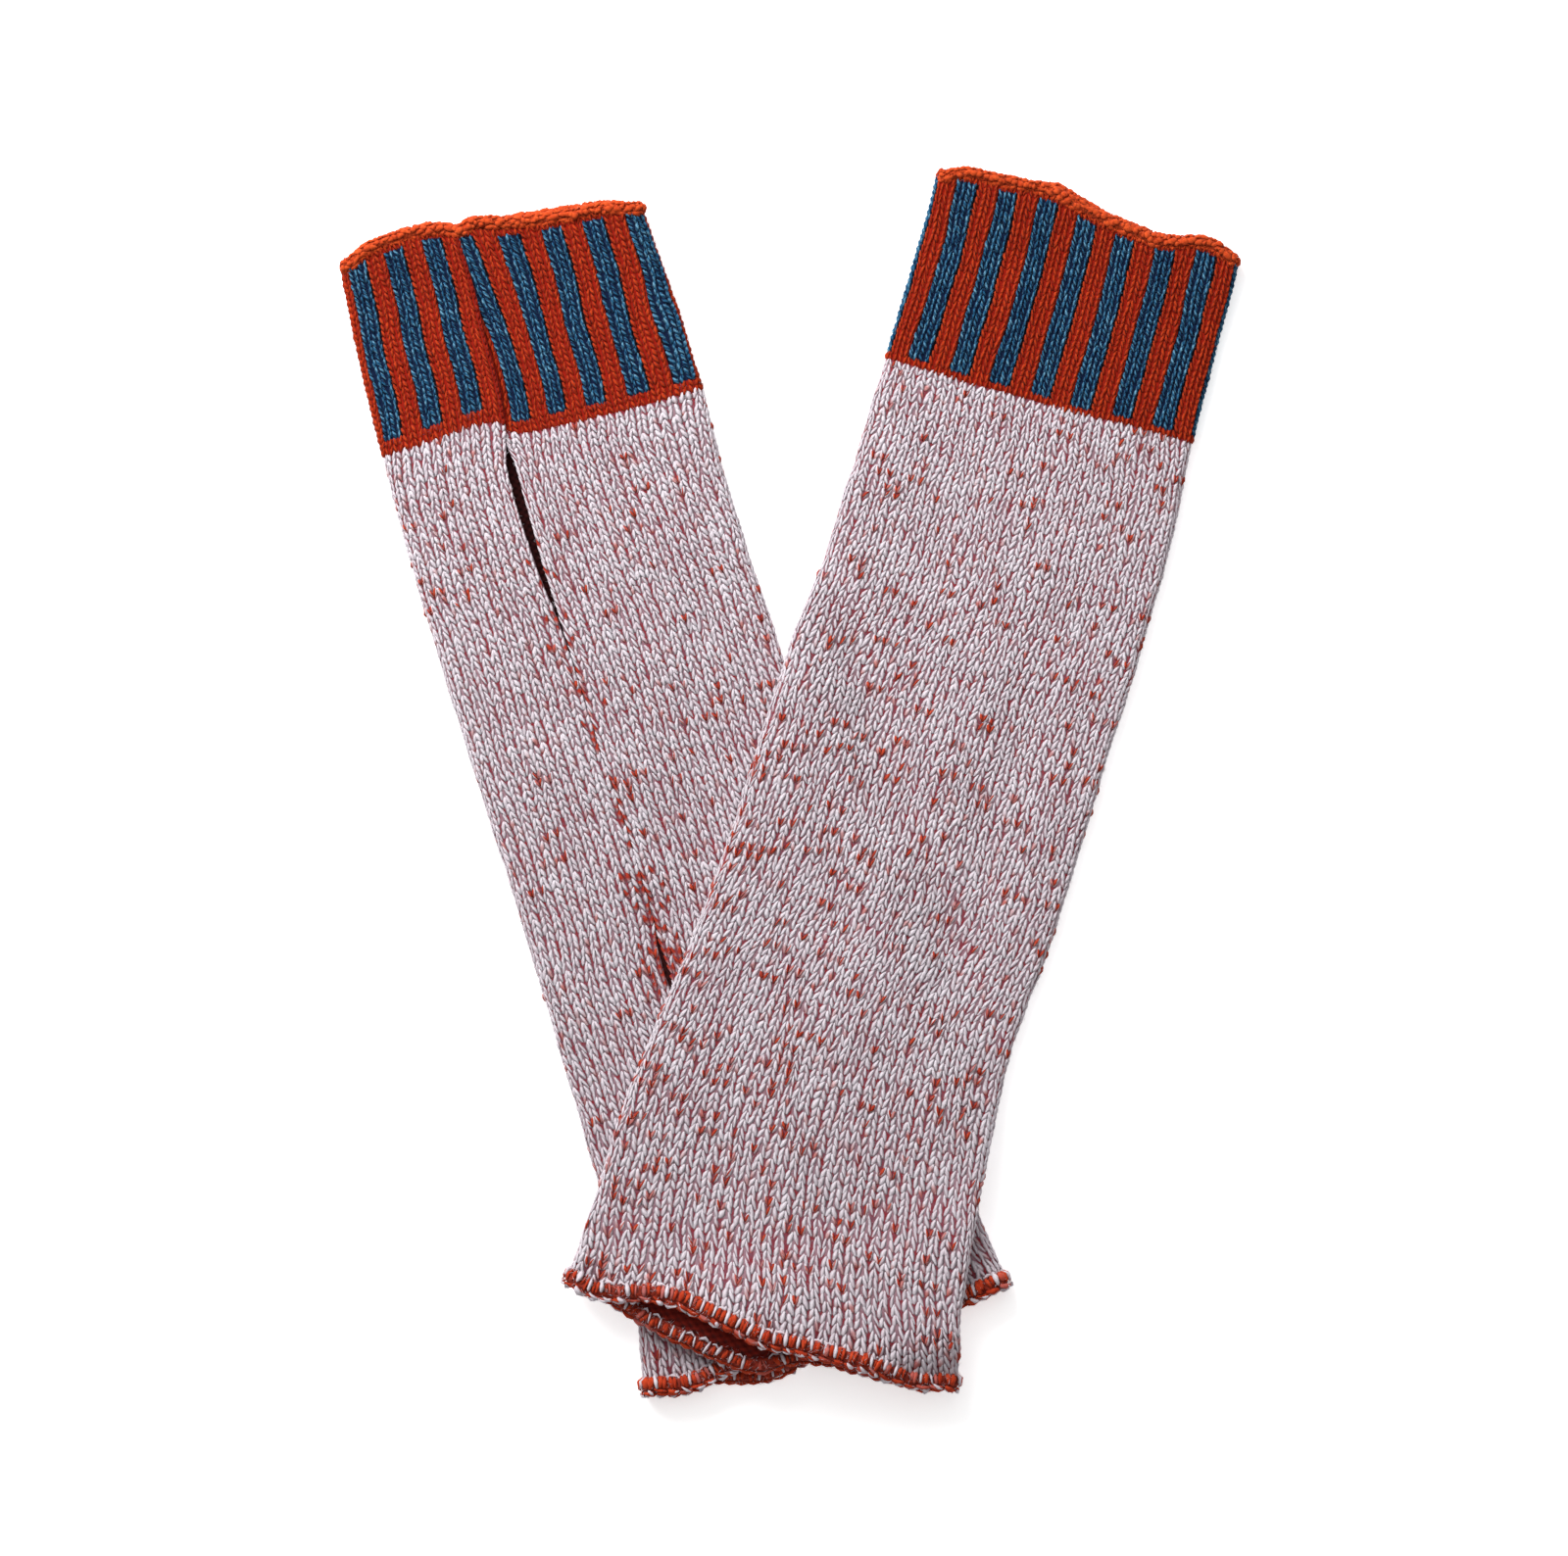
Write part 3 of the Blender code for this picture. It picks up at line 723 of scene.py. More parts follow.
def cuff_ground(place):
    look = Look(f"{place}_cuff_ground")
    first, last = BLUE_COURSES[place]
    wale, course = look.map("Stitch")
    fine = look.noise(1500, 3, 0.6)
    in_repeat = ((wale - FIRST_BLUE) * (1 / REPEAT)).math("FRACT") * REPEAT
    edge = (in_repeat - 1).math("ABSOLUTE")
    blue = 1 - edge.sharpened(0.98, 1.02)
    band = course.sharpened(first - 0.1, first + 0.1) * (
        1 - course.sharpened(last - 0.1, last + 0.1))
    # Painted shadow: a nearly black line in the gap where a stripe changes colour
    turn = (1 - (edge - 1).math("ABSOLUTE").sharpened(0.05, 0.22)) * band
    # Deep red and navy: the orange and blue yarns in painted shade, in the gaps between the legs
    red = look.blend(colour(112, 14, 6), colour(166, 32, 10), fine)
    navy = look.blend(colour(4, 8, 26), colour(16, 34, 70), fine)
    shade = look.blend(look.blend(red, navy, blue * band), STRIPE_GAP_SHADOW, turn)
    return look.finish(shade, 0.92, fine, 0.05)


def purl_ground(name, first, second, lit_from=None):
    """The inside, in painted shadow except past the course lit_from, where light gets in at the
    open end.
    """
    look = Look(name)
    wale, course = look.map("Stitch")
    bumps = (wale * (2 * math.pi)).math("SINE") * (course * (2 * math.pi)).math("SINE")
    ridge = bumps * 0.5 + 0.5
    fine = look.noise(1400, 3, 0.6)
    # Lighter on the bumps and darker between them: painted shade on the relief of the purl bumps
    shade = look.blend(first, second, (ridge * 0.6 + fine * 0.6 - 0.1).clamped())
    # Painted shadow deep inside the tube, up to where light gets in at the open end
    if lit_from:
        inside = 1 - course.sharpened(lit_from, lit_from + 10)
        shade = look.blend(shade, INSIDE_SHADOW, inside * 0.92)
    return look.finish(shade, 0.92, ridge + fine * 0.5, 0.05, 0.8, 0.0006)


sleeve_face = sleeve_ground()
cuff_faces = {place: cuff_ground(place) for place in PLACES}
sleeve_purl = purl_ground("sleeve_purl_side", colour(78, 16, 14), colour(150, 44, 32), 104)
hem_core = purl_ground("hem_core", colour(112, 26, 18), colour(170, 66, 48))
cuff_core = purl_ground("cuff_core", colour(160, 40, 12), colour(214, 84, 36))
cuff_purl = purl_ground("cuff_purl_side", colour(96, 12, 4), colour(186, 48, 14))
print("grounds:", sleeve_face.name, *(face.name for face in cuff_faces.values()),
      sleeve_purl.name, cuff_purl.name)

# %% [markdown]
# ## The body of the fabric
#
# Each panel is one thin sheet with a front and a back, wrapped round from seam to seam. It lies
# just under the finished surface, so that the legs of the stitches stand on it. It takes the place
# of its CAD solid.


# %% Fabric sheets
GROUND_TOP, GROUND_BACK = -0.52, -1.7
LAP, LAP_DIP = 0.9, 0.25  # each panel runs this far on under the next one, in courses and mm
STITCH_COLUMNS = (0, 0.1, 0.22, 0.36, 0.55, 0.8)


def fabric_sheet(name, knit, courses_a_row, face, back):
    """The panel as a closed sheet with a front, a back and a rim. It laps at the join."""
    middle = np.arange(1, knit.wales - 0.5, 0.5)
    wales = np.concatenate([STITCH_COLUMNS, middle, knit.wales - np.array(STITCH_COLUMNS[::-1])])
    rows = np.linspace(0, knit.courses, int(knit.courses / courses_a_row) + 1)
    rows = np.append(rows, knit.courses + LAP) if "cuff" in name else np.append(-LAP, rows)
    wale, course = np.meshgrid(wales, rows)
    lapped = LAP_DIP * ((course < 0) | (course > knit.courses))
    front = knit.place(wale, course, GROUND_TOP - lapped)
    inner = knit.place(wale, course, GROUND_BACK + lapped)
    index = np.arange(wale.size).reshape(wale.shape)
    quad = grid_quads(index)
    border = np.concatenate([index[:-1, 0], index[-1, :-1], index[:0:-1, -1], index[0, :0:-1]])
    after = np.roll(border, -1)
    rim = np.stack([after, border, border + wale.size, after + wale.size], -1)
    faces = np.concatenate([quad, quad[:, ::-1] + wale.size, rim])
    counts = np.stack([wale.ravel(), course.ravel()], -1)
    counts = np.concatenate([counts, counts])
    slots = np.repeat([0, 1, 1], [len(quad), len(quad), len(rim)])
    points = np.concatenate([front.reshape(-1, 3), inner.reshape(-1, 3)])
    return make_mesh(name, points, faces, (face, back), maps={"Stitch": counts[faces]},
                     slots=slots)


sheets = {}
for kind, courses_a_row, back in (("cuff", 1.4, cuff_purl), ("sleeve", 3.0, sleeve_purl)):
    for place in PLACES:
        name = f"{place}_{kind}"
        face = cuff_faces[place] if kind == "cuff" else sleeve_face
        sheets[name] = fabric_sheet(f"{name}_fabric", KNITS[name], courses_a_row, face, back)
show(sheets.values())

# %% [markdown]
# ## The stitches
#
# On the face side each stitch shows as a V whose point is towards the hem: two legs, each a short
# fat strand that comes up from behind the stitch below and dives behind the one above. The twist
# of the yarn makes the two legs differ: the left one slants more and the right one is fuller and
# more upright. A leg here is a closed spindle: a run of three-cornered rings round a centre line,
# ending in a point. All legs of one kind are made in one go by adding the places of the stitches
# to one leg. The stitches that no one sees, underneath, have fewer rings.

# %% One strand, many times
FINE_RINGS = (0.0, 0.15, 0.5, 0.85, 1.0)
PLAIN_RINGS = (0.0, 0.28, 0.72, 1.0)
HAIR_RINGS = (0.0, 0.5, 1.0)
SEEN_LEVEL = 0.03  # a stitch lower than this round the tube is underneath
PEAKED = ((-1.0, -0.30), (0.0, 1.0), (1.0, -0.30))
ROUNDED = ((-1.0, -0.2), (-0.72, 0.64), (0.0, 1.0), (0.72, 0.64), (1.0, -0.2))
BAKE_MARGIN = 0.06  # left free at each side of a strand's own cell of the bake map


def strand_faces(rings, sides):
    """Triangles of one closed strand: a tip, rings of points, and a tip."""
    end = sides * (rings - 2) + 1
    faces = [(0, 1 + (k + 1) % sides, 1 + k) for k in range(sides)]
    for ring in range(rings - 3):
        for k in range(sides):
            a, b = 1 + sides * ring + k, 1 + sides * ring + (k + 1) % sides
            faces += [(a, b, b + sides), (a, b + sides, a + sides)]
    faces += [(end - sides + k, end - sides + (k + 1) % sides, end) for k in range(sides)]
    return np.array(faces)


def strand_map(rings, sides):
    """For each corner of those triangles: its ring, and how far round the strand it is."""
    end, corners = sides * (rings - 2) + 1, []
    for face in strand_faces(rings, sides):
        around = {(corner - 1) % sides for corner in face if 0 < corner < end}
        first = sides - 1 if around == {0, sides - 1} and sides > 2 else min(around)
        for corner in face:
            if corner in (0, end):
                corners.append((0 if corner == 0 else rings - 1, (first + 0.5) / sides))
            else:
                step = ((corner - 1) % sides - first) % sides
                corners.append((1 + (corner - 1) // sides, (first + step) / sides))
    return np.array(corners)


def fullness(share, power, skew=1.0):
    """How full a strand is along its length, from nothing at one end to nothing at the other."""
    full = np.sin(math.pi * share ** skew) ** power
    full[:, 0] = full[:, -1] = 0
    return full


def with_height(path, height):
    """A path across a surface, with its height over that surface added."""
    return np.concatenate([path, np.broadcast_to(height, path.shape[:2])[..., None]], -1)


class Strands:
    """Collects strands that lie on one panel or roll, and joins them in one mesh."""

    def __init__(self, rings, section=PEAKED):
        self.rings, self.section = np.array(rings), section
        self.points, self.numbers = [], []

    def add(self, base, wale, course, path, half_width, thickness, tint, plate):
        """Adds n strands. path is (n, rings, 3) in mm: across, down, and out from the surface."""
        direction = unit(np.gradient(path[..., :2], axis=1))
        sideways = np.stack([-direction[..., 1], direction[..., 0]], -1)
        inner = slice(1, -1)
        ring = []
        for side, up in self.section:
            offset = sideways[:, inner] * (side * half_width[:, inner])[..., None]
            out = path[:, inner, 2] + up * thickness[:, inner]
            ring.append(np.concatenate([path[:, inner, :2] + offset, out[..., None]], -1))
        ring = np.stack(ring, 2).reshape(len(path), -1, 3)
        local = np.concatenate([path[:, :1], ring, path[:, -1:]], 1)
        points = base.place(wale[:, None] + local[..., 0] / base.wale_pitch,
                            course[:, None] + local[..., 1] / base.course_pitch, local[..., 2])
        last, sides = len(self.rings) - 1, len(self.section)
        spread = np.concatenate([[0], np.repeat(np.arange(1, last), sides), [last]])
        self.points.append(points)
        self.numbers.append((np.broadcast_to(tint[:, None], points.shape[:2]),
                             plate[:, spread]))

    def join(self, name, length, material):
        """One mesh of all strands so far. length is that of a typical strand in mm."""
        points = np.concatenate(self.points)
        count, each = points.shape[:2]
        faces = strand_faces(len(self.rings), len(self.section))
        all_faces = (faces[None] + each * np.arange(count)[:, None, None]).reshape(-1, 3)
        corner = strand_map(len(self.rings), len(self.section))
        along = self.rings[corner[:, 0].astype(int)]
        yarn = np.tile(np.stack([along * length, corner[:, 1] * 2 - 1], -1), (count, 1))
        side = int(np.ceil(count ** 0.5))
        cell = np.stack([np.arange(count) % side, np.arange(count) // side], -1)
        inside = BAKE_MARGIN + (1 - 2 * BAKE_MARGIN) * np.stack([along, corner[:, 1]], -1)
        bake = ((cell[:, None] + inside[None]) / side).reshape(-1, 2)
        numbers = {"tint": np.concatenate([n[0] for n in self.numbers]),
                   "plate": np.concatenate([n[1] for n in self.numbers])}
        return make_mesh(name, points.reshape(-1, 3), all_faces, (material,), numbers,
                         {"Yarn": yarn, "OFBake": bake})


def join_pieces(name, pieces):
    """Joins meshes that share their layers and their material into one piece."""
    with bpy.context.temp_override(active_object=pieces[0], object=pieces[0],
                                   selected_objects=pieces,
                                   selected_editable_objects=pieces):
        bpy.ops.object.join()
    pieces[0].name = name
    return pieces[0]


def mixed_tints(rng, middle, spread, count):
    """Uneven dyeing: a number from 0, dark, to 1, light, for each strand."""
    return np.clip(rng.normal(middle, spread, count), 0, 1)


def stitch_places(knit):
    """Wale, course and level of every stitch: level is 1 on top, 0 underneath."""
    course, wale = np.divmod(np.arange(knit.wales * knit.courses), knit.wales)
    wale, course = wale.astype(float), course.astype(float)
    return wale, course, knit.at_stitch("level", wale, course)


def by_detail(level):
    """The rings for the stitches that can be seen, and fewer for those underneath."""
    return (FINE_RINGS, level > SEEN_LEVEL), (PLAIN_RINGS, level <= SEEN_LEVEL)


# %% [markdown]
# ### Legs of the stitches
#
# A leg goes from its foot, near the middle of the wale, to its head, near the side. It is thickest
# in the middle and sits a little higher there. Hand and machine both leave it uneven, so each leg
# is moved, widened and turned by a small random amount.

# %% Leg shapes
Leg = namedtuple("Leg", "foot head bow half_width thickness")
LEG_ARCH = 0.16  # how much higher its middle sits than its ends
SLEEVE_LEGS = {
    "lower": {"left": Leg((-0.20, 1.62), (-1.16, -1.44), 0.05, 0.60, 0.27),
              "right": Leg((0.36, 1.70), (1.06, -1.56), 0.05, 0.61, 0.30)},
    "upper": {"left": Leg((-0.22, 1.62), (-1.16, -1.46), 0.05, 0.60, 0.28),
              "right": Leg((0.24, 1.64), (1.16, -1.52), 0.05, 0.61, 0.31)},
}
CUFF_LEGS = {
    "left": Leg((-0.18, 1.25), (-1.12, -1.15), 0.05, 0.52, 0.52),
    "right": Leg((0.46, 1.40), (0.90, -1.35), 0.05, 0.52, 0.60),
}


def leg_paths(leg, rings, rng, shift, spread=0.09):
    """Centre lines, half widths and thicknesses of legs, one for each row of shift."""
    count, share = len(shift), np.array(rings)[None, :]
    foot = np.array(leg.foot) + shift + rng.normal(0, spread, (count, 2))
    head = np.array(leg.head) + shift + rng.normal(0, spread, (count, 2))
    path = mix(foot[:, None], head[:, None], share[..., None])
    run = head - foot
    aside = unit(np.stack([run[:, 1], -run[:, 0]], -1))
    bulge = np.sin(math.pi * share)[..., None]
    outward = -np.sign(leg.head[0])
    path = path + outward * aside[:, None] * bulge * leg.bow
    full = fullness(share, 0.55, 0.94)
    height = GROUND_TOP - 0.02 + LEG_ARCH * bulge[..., 0] + rng.normal(0, 0.04, (count, 1))
    size = np.clip(rng.normal(1, spread, (count, 1)), 0.7, 1.35)
    return with_height(path, height), leg.half_width * full * size, leg.thickness * full * size


# %% [markdown]
# ### Flecks of the back yarn
#
# Where the two yarns change places the orange one comes to the front, as a small V or half a V in
# the crotch of a stitch. Fibres of the face yarn partly cover some of them. It happens in short
# runs along a course, and more often low down on the upper warmer and beside the seam of the
# lower one, where whole legs are of the back yarn.


# %% Where the flecks are
WALE_LENGTH, COURSE_LENGTH = 2.7, 2.0  # of a sleeve's stitch in mm
RUN_LENGTH = 9.0  # the same as a course's, but stretched so that the runs lie along a course
USUAL_CHANCE, FOLD_CHANCE, SEAM_CHANCE, NEXT_CHANCE = 0.056, 0.07, 0.08, 0.45


def fleck_mask(knit, wale, course, rng):
    """Which stitches show a fleck."""
    level, along, share = (knit.at_stitch(name, wale, course)
                           for name in ("level", "along", "share"))
    run = waves(knit.seed + 5, wale * WALE_LENGTH, course * RUN_LENGTH, 12)
    patch = waves(knit.seed + 6, wale * WALE_LENGTH, course * COURSE_LENGTH, 34)
    chance = USUAL_CHANCE + 0.065 * run + 0.03 * patch
    if knit.warmer.drapes:
        low_down = smooth_step((along - 110) / 130)
        chance = chance - 0.008 + 0.14 * low_down * (1.2 - share)
        at_fold = FOLD_CHANCE * (share < 0.12) + FOLD_CHANCE * (share > 0.9)
        chance = chance + at_fold * (level > 0.5)
    else:
        from_seam = np.minimum(wale, knit.wales - 1 - wale)
        near = (from_seam < 2) & (along > 155)
        chance = chance * (0.48 + 0.52 * smooth_step((along - 60) / 120)) + SEAM_CHANCE * near
    first = rng.random(len(wale)) < np.clip(chance * 0.75, 0.006, 0.5)
    beside = np.roll(first, 1) & (rng.random(len(wale)) < NEXT_CHANCE)
    return first | beside


def seam_strip(knit, wale, course, side, rng):
    """The legs beside the closed seam that are of the back yarn, most of them low down."""
    along = knit.at_stitch("along", wale, course)
    from_seam = np.minimum(wale, knit.wales - 1 - wale)
    beside_seam = (wale == 0) if side == "left" else (wale == knit.wales - 1)
    low_down = smooth_step((along - 158) / 14) * smooth_step((200 - along) / 10)
    chance = np.where(beside_seam, 0.26 + 0.36 * low_down, 0.03 + 0.27 * low_down)
    return ((from_seam < 2) & knit.warmer.seam_up & (along > 76) & (along < 210)
            & (rng.random(len(wale)) < chance))


# %% Sleeve stitches
Fleck = namedtuple("Fleck", "lean chance foot head half_width")
FLECK_ARMS = (Fleck(-1, 0.72, (0.00, 1.20), (0.80, -0.95), 0.42),
              Fleck(1, 0.88, (0.00, 1.30), (0.84, -1.20), 0.44))


def sleeve_stitches(name, knit):
    """Both legs of every stitch of a sleeve, and the flecks, as joined meshes."""
    rng = np.random.default_rng(knit.seed)
    wale, course, level = stitch_places(knit)
    flecked = fleck_mask(knit, wale, course, rng)
    shift = rng.normal(0, 0.11, (len(wale), 2))
    paler = 0.5 + 0.5 * waves(knit.seed + 7, wale * WALE_LENGTH, course * COURSE_LENGTH, 22)
    made = []
    for side, leg in SLEEVE_LEGS[knit.warmer.name].items():
        pieces = []
        for rings, seen in by_detail(level):
            strands = Strands(rings)
            w, c = wale[seen], course[seen]
            path, width, thick = leg_paths(leg, rings, rng, shift[seen], 0.14)
            tint = np.clip(rng.normal(0.4, 0.28, len(w)) + 0.35 * paler[seen], 0, 1)
            width = width * (0.93 + 0.12 * paler[seen])[:, None]
            tipped = flecked[seen] | (rng.random(len(w)) < 0.17)
            turned = tipped * rng.uniform(0.1, 0.7, len(w))
            plate = np.clip((turned[:, None] - np.array(rings)) * 6, 0, 1)
            plate = plate * rng.uniform(0.35, 0.9, (len(w), 1))
            at_seam = seam_strip(knit, w, c, side, rng)
            in_part = np.where(np.array(rings) > 0.2, 1.0, 0.4)
            plate = np.where(at_seam[:, None], in_part, plate)
            tint = np.where(at_seam, -0.12, tint)
            strands.add(knit, w + 0.5, c + 0.5, path, width, thick, tint, plate)
            pieces.append(strands.join(f"{name}_{side}_legs", 3.0, sleeve_yarn))
        made.append(join_pieces(f"{name}_{side}_legs", pieces))
    flecks = Strands(FINE_RINGS)
    shows = flecked & (level > SEEN_LEVEL)
    for arm in FLECK_ARMS:
        kept = shows & (rng.random(len(wale)) < arm.chance)
        w, c = wale[kept], course[kept]
        shape = Leg((arm.lean * arm.foot[0], arm.foot[1]), (arm.lean * arm.head[0], arm.head[1]),
                    0.03, arm.half_width, 0.46)
        path, width, thick = leg_paths(shape, FINE_RINGS, rng, shift[kept], 0.12)
        path[..., 2] += 0.12
        width = width * rng.uniform(0.6, 1.2, (len(w), 1))
        tint = mixed_tints(rng, 0.45, 0.4, len(w))
        plate = rng.uniform(0.65, 1.7, (len(w), 1)).clip(0, 1)  # below 1: partly covered
        flecks.add(knit, w + 0.5, c + 0.5, path, width, thick, tint,
                   np.repeat(plate, len(FINE_RINGS), 1))
    return [*made, flecks.join(f"{name}_flecks", 2.0, sleeve_yarn)]


parts = {}
for place in PLACES:
    parts[place] = sleeve_stitches(f"{place}_sleeve", KNITS[f"{place}_sleeve"])
    show(parts[place])

# %% [markdown]
# ### Cuff stitches
#
# The cuff has stripes two wales wide. The blue stripes start one course below the curled edge and
# end one or two courses above the sleeve, where the orange runs all round.

# %% Cuff stitches
def is_blue(warmer, wale, course):
    """Whether a stitch of the cuff is in a blue stripe."""
    first, last = BLUE_COURSES[warmer.name]
    in_repeat = (wale - FIRST_BLUE) % REPEAT
    return (in_repeat < REPEAT / 2) & (course >= first) & (course < last)


def cuff_stitches(name, knit):
    """Both legs of every stitch of a cuff, as one mesh."""
    rng = np.random.default_rng(knit.seed)
    wale, course, level = stitch_places(knit)
    pieces = []
    for side, leg in CUFF_LEGS.items():
        for rings, seen in by_detail(level):
            strands = Strands(rings)
            w, c = wale[seen], course[seen]
            path, width, thick = leg_paths(leg, rings, rng, rng.normal(0, 0.07, (len(w), 2)))
            tint = mixed_tints(rng, 0.5, 0.28, len(w))
            # The last wale's right legs are painted dark: painted shadow where the seam's edge
            # turns in
            if knit.warmer.seam_up and side == "right":
                tint = np.where(w == knit.wales - 1, -0.6, tint)  # painted shadow of the seam, where the edge turns in
            orange = np.where(is_blue(knit.warmer, w, c), 0.0, 1.0)[:, None]
            strands.add(knit, w + 0.5, c + 0.5, path, width, thick, tint,
                        np.broadcast_to(orange, (len(w), len(rings))))
            pieces.append(strands.join(f"{name}_{side}", 2.2, cuff_yarn))
    return join_pieces(f"{name}_stitches", pieces)


for place in PLACES:
    parts[place].append(cuff_stitches(f"{place}_cuff", KNITS[f"{place}_cuff"]))
    show(parts[place][-1:])


# %% [markdown]
# ## The curled ends
#
# A raw edge of plain knitting curls outward by itself and shows its purl side: bumps instead of
# V's. A `Roll` is the ring that the edge curls into. Its places are counted in wales round the
# tube and in millimetres round the roll, so the same strands lie on it: on the hem fat orange
# bumps with pale bars between them, then the chain of the cast-off edge, and on the cuff rows of
# small, flat orange bumps.


# %% The rolls
class Roll:
    """The curled end of a tube: a ring that goes round the tube at an edge line."""

    course_pitch = 1.0

    def __init__(self, warmer, line, radius, wales, outward, outset, fold_inset):
        turn = np.linspace(0, 1, wales * 8 + 1)
        middle = along_at(line, 0.5, 0.5) - outward * radius
        share, angle, girth = column_at(warmer, middle + 0 * turn, turn)
        level = (1 + np.sin(angle)) / 2
        along = along_at(line, share, level) - outward * radius
        drawn_in = fold_inset * np.cos(angle) ** 2
        point = tube_point(warmer, share, angle, along, WALL / 2 - outset + drawn_in)
        self.centres = placed(warmer, point)
        lean = math.radians(warmer.lean)
        self.out = np.stack([np.cos(angle) * math.cos(lean), np.cos(angle) * math.sin(lean),
                             np.sin(angle)], -1)
        run = np.gradient(self.centres, axis=0)
        self.ahead = unit(np.cross(run, self.out) * outward)
        self.radius, self.wales, self.share = radius, wales, share
        self.around = 2 * math.pi * radius
        self.wale_pitch = float(girth.mean()) / wales

    def place(self, wale, arc, height):
        """Points at these wales, this far round the roll, this far out from its surface."""
        where = np.mod(wale / self.wales, 1) * (len(self.centres) - 1)
        i = np.minimum(where.astype(int), len(self.centres) - 2)
        s = (where - i)[..., None]
        centre, out, ahead = (mix(grid[i], grid[i + 1], s)
                              for grid in (self.centres, self.out, self.ahead))
        angle = (np.asarray(arc) / self.radius)[..., None]
        reach = self.radius + np.asarray(height)[..., None]
        return centre + reach * (np.cos(angle) * out + np.sin(angle) * ahead)


def roll_core(name, roll, depth, material):
    """The smooth inside of a roll, a closed ring that fills it under its bumps."""
    wale, arc = np.meshgrid(np.arange(0, roll.wales, 0.5),
                            np.linspace(0, 2 * math.pi, 10, endpoint=False) * roll.radius,
                            indexing="ij")
    points = roll.place(wale, arc, np.full_like(wale, -depth))
    index = np.arange(wale.size).reshape(wale.shape)
    faces = grid_quads(np.pad(index, (0, 1), "wrap"))
    counts = np.stack([wale.ravel(), arc.ravel() / 2], -1)
    return make_mesh(name, points.reshape(-1, 3), faces, (material,),
                     maps={"Stitch": counts[faces]})


# %% Bumps on a roll
Bump = namedtuple("Bump", "start end bow half_width thickness sunk plate kept")


def add_bumps(strands, roll, bump, rng, muted, shift, spread):
    """One row of bumps round the roll: each goes from start to end, given in mm."""
    wale = np.arange(0, roll.wales)[rng.random(roll.wales) < bump.kept] + 0.5 + shift
    count, share = len(wale), strands.rings[None, :]
    start = np.array(bump.start) + rng.normal(0, spread, (count, 2))
    end = np.array(bump.end) + rng.normal(0, spread, (count, 2))
    path = mix(start[:, None], end[:, None], share[..., None])
    bulge = np.sin(math.pi * share)
    path[..., 1] += bump.bow * bulge * rng.normal(1, 0.25, (count, 1))
    height = -bump.sunk + 0.3 * bulge - 0.12 + rng.normal(0, 0.08, (count, 1))
    size = rng.normal(1, 0.22, (count, 1)).clip(0.6, 1.25)
    covered = muted(wale)[:, None]
    size = size * (1 - 0.45 * covered if bump.plate > 0 else 1 + 0.25 * covered)
    dull = rng.random(count) < 0.15 * (bump.plate > 0) * (covered[:, 0] > 0)
    plate = np.where(dull, rng.uniform(0.8, 0.95, count), bump.plate)
    plate = np.repeat(plate[:, None], len(strands.rings), 1)
    tint = mixed_tints(rng, 0.5, 0.28, count)
    full = fullness(share, 0.5)
    strands.add(roll, wale, np.zeros(count), with_height(path, height),
                bump.half_width * full * size, bump.thickness * full * size, tint, plate)


# %% [markdown]
# ### Hem and cuff rolls
#
# Round the roll, 0 mm is the side that faces out from the tube, a quarter of the way round is the
# end that points away from the sleeve, and half way round is the side that faces into the tube.

# %% Rows of bumps
HEM_ROWS = table(
    Bump,
    ((-0.50, -3.5), (-0.45, 0.9), 0.2, 0.72, 0.74, 0.28, 1.0, 1.0),
    ((0.50, -3.4), (0.45, 1.0), -0.2, 0.70, 0.80, 0.22, 1.0, 1.0),
    ((-1.50, -4.2), (-1.35, 0.8), 0.3, 0.46, 0.74, 0.06, 0.0, 0.85),
    ((-1.25, -3.0), (1.25, -2.9), -0.65, 0.28, 0.6, 0.10, 0.0, 0.5),
    ((-1.9, 1.3), (1.5, 1.8), 0.1, 0.60, 0.80, 0.10, 1.0, 1.0),
    ((-0.9, 1.0), (1.3, 2.2), 0.1, 0.36, 0.6, -0.25, 0.0, 0.7),
    ((-1.7, 2.5), (1.7, 2.3), 0.2, 0.30, 0.6, 0.00, 0.0, 0.5),
    ((-1.8, 2.2), (1.6, 2.7), -0.2, 0.40, 0.6, 0.05, 1.0, 0.9),
    ((-1.9, 3.3), (1.9, 3.1), 0.2, 0.50, 0.7, 0.20, 1.0, 1.0),
    ((-1.2, 3.1), (1.0, 2.6), 0.1, 0.26, 0.5, -0.20, 0.0, 0.4),
    ((-1.9, 4.2), (1.9, 4.3), -0.1, 0.60, 0.8, 0.35, 1.0, 1.0),
    ((-0.40, 5.2), (-0.45, 8.6), 0.0, 0.60, 0.74, 0.34, 1.0, 1.0),
    ((0.55, 5.3), (0.50, 8.5), 0.0, 0.62, 0.78, 0.30, 1.0, 1.0),
    ((-1.5, 5.2), (-1.5, 9.3), 0.0, 0.40, 0.80, 0.20, 0.0, 0.8),
    ((-1.2, 8.3), (1.2, 8.3), 0.75, 0.27, 0.6, -0.05, 0.0, 0.8),
    ((-1.6, 10.4), (1.6, 10.4), 0.3, 0.60, 0.8, 0.55, 1.0, 1.0))
CUFF_ROWS = tuple(
    Bump((-0.95, arc), (0.95, arc + 0.15), bow, 0.80, 0.40, 0.08, 1.0, 1.0)
    for arc, bow in ((-3.2, -0.3), (-2.3, 0.3), (-1.4, -0.3), (-0.5, 0.3), (0.4, -0.3),
                     (1.3, 0.3), (2.1, -0.3), (2.9, 0.3), (3.9, -0.4), (5.2, 0.4), (6.5, -0.4)))


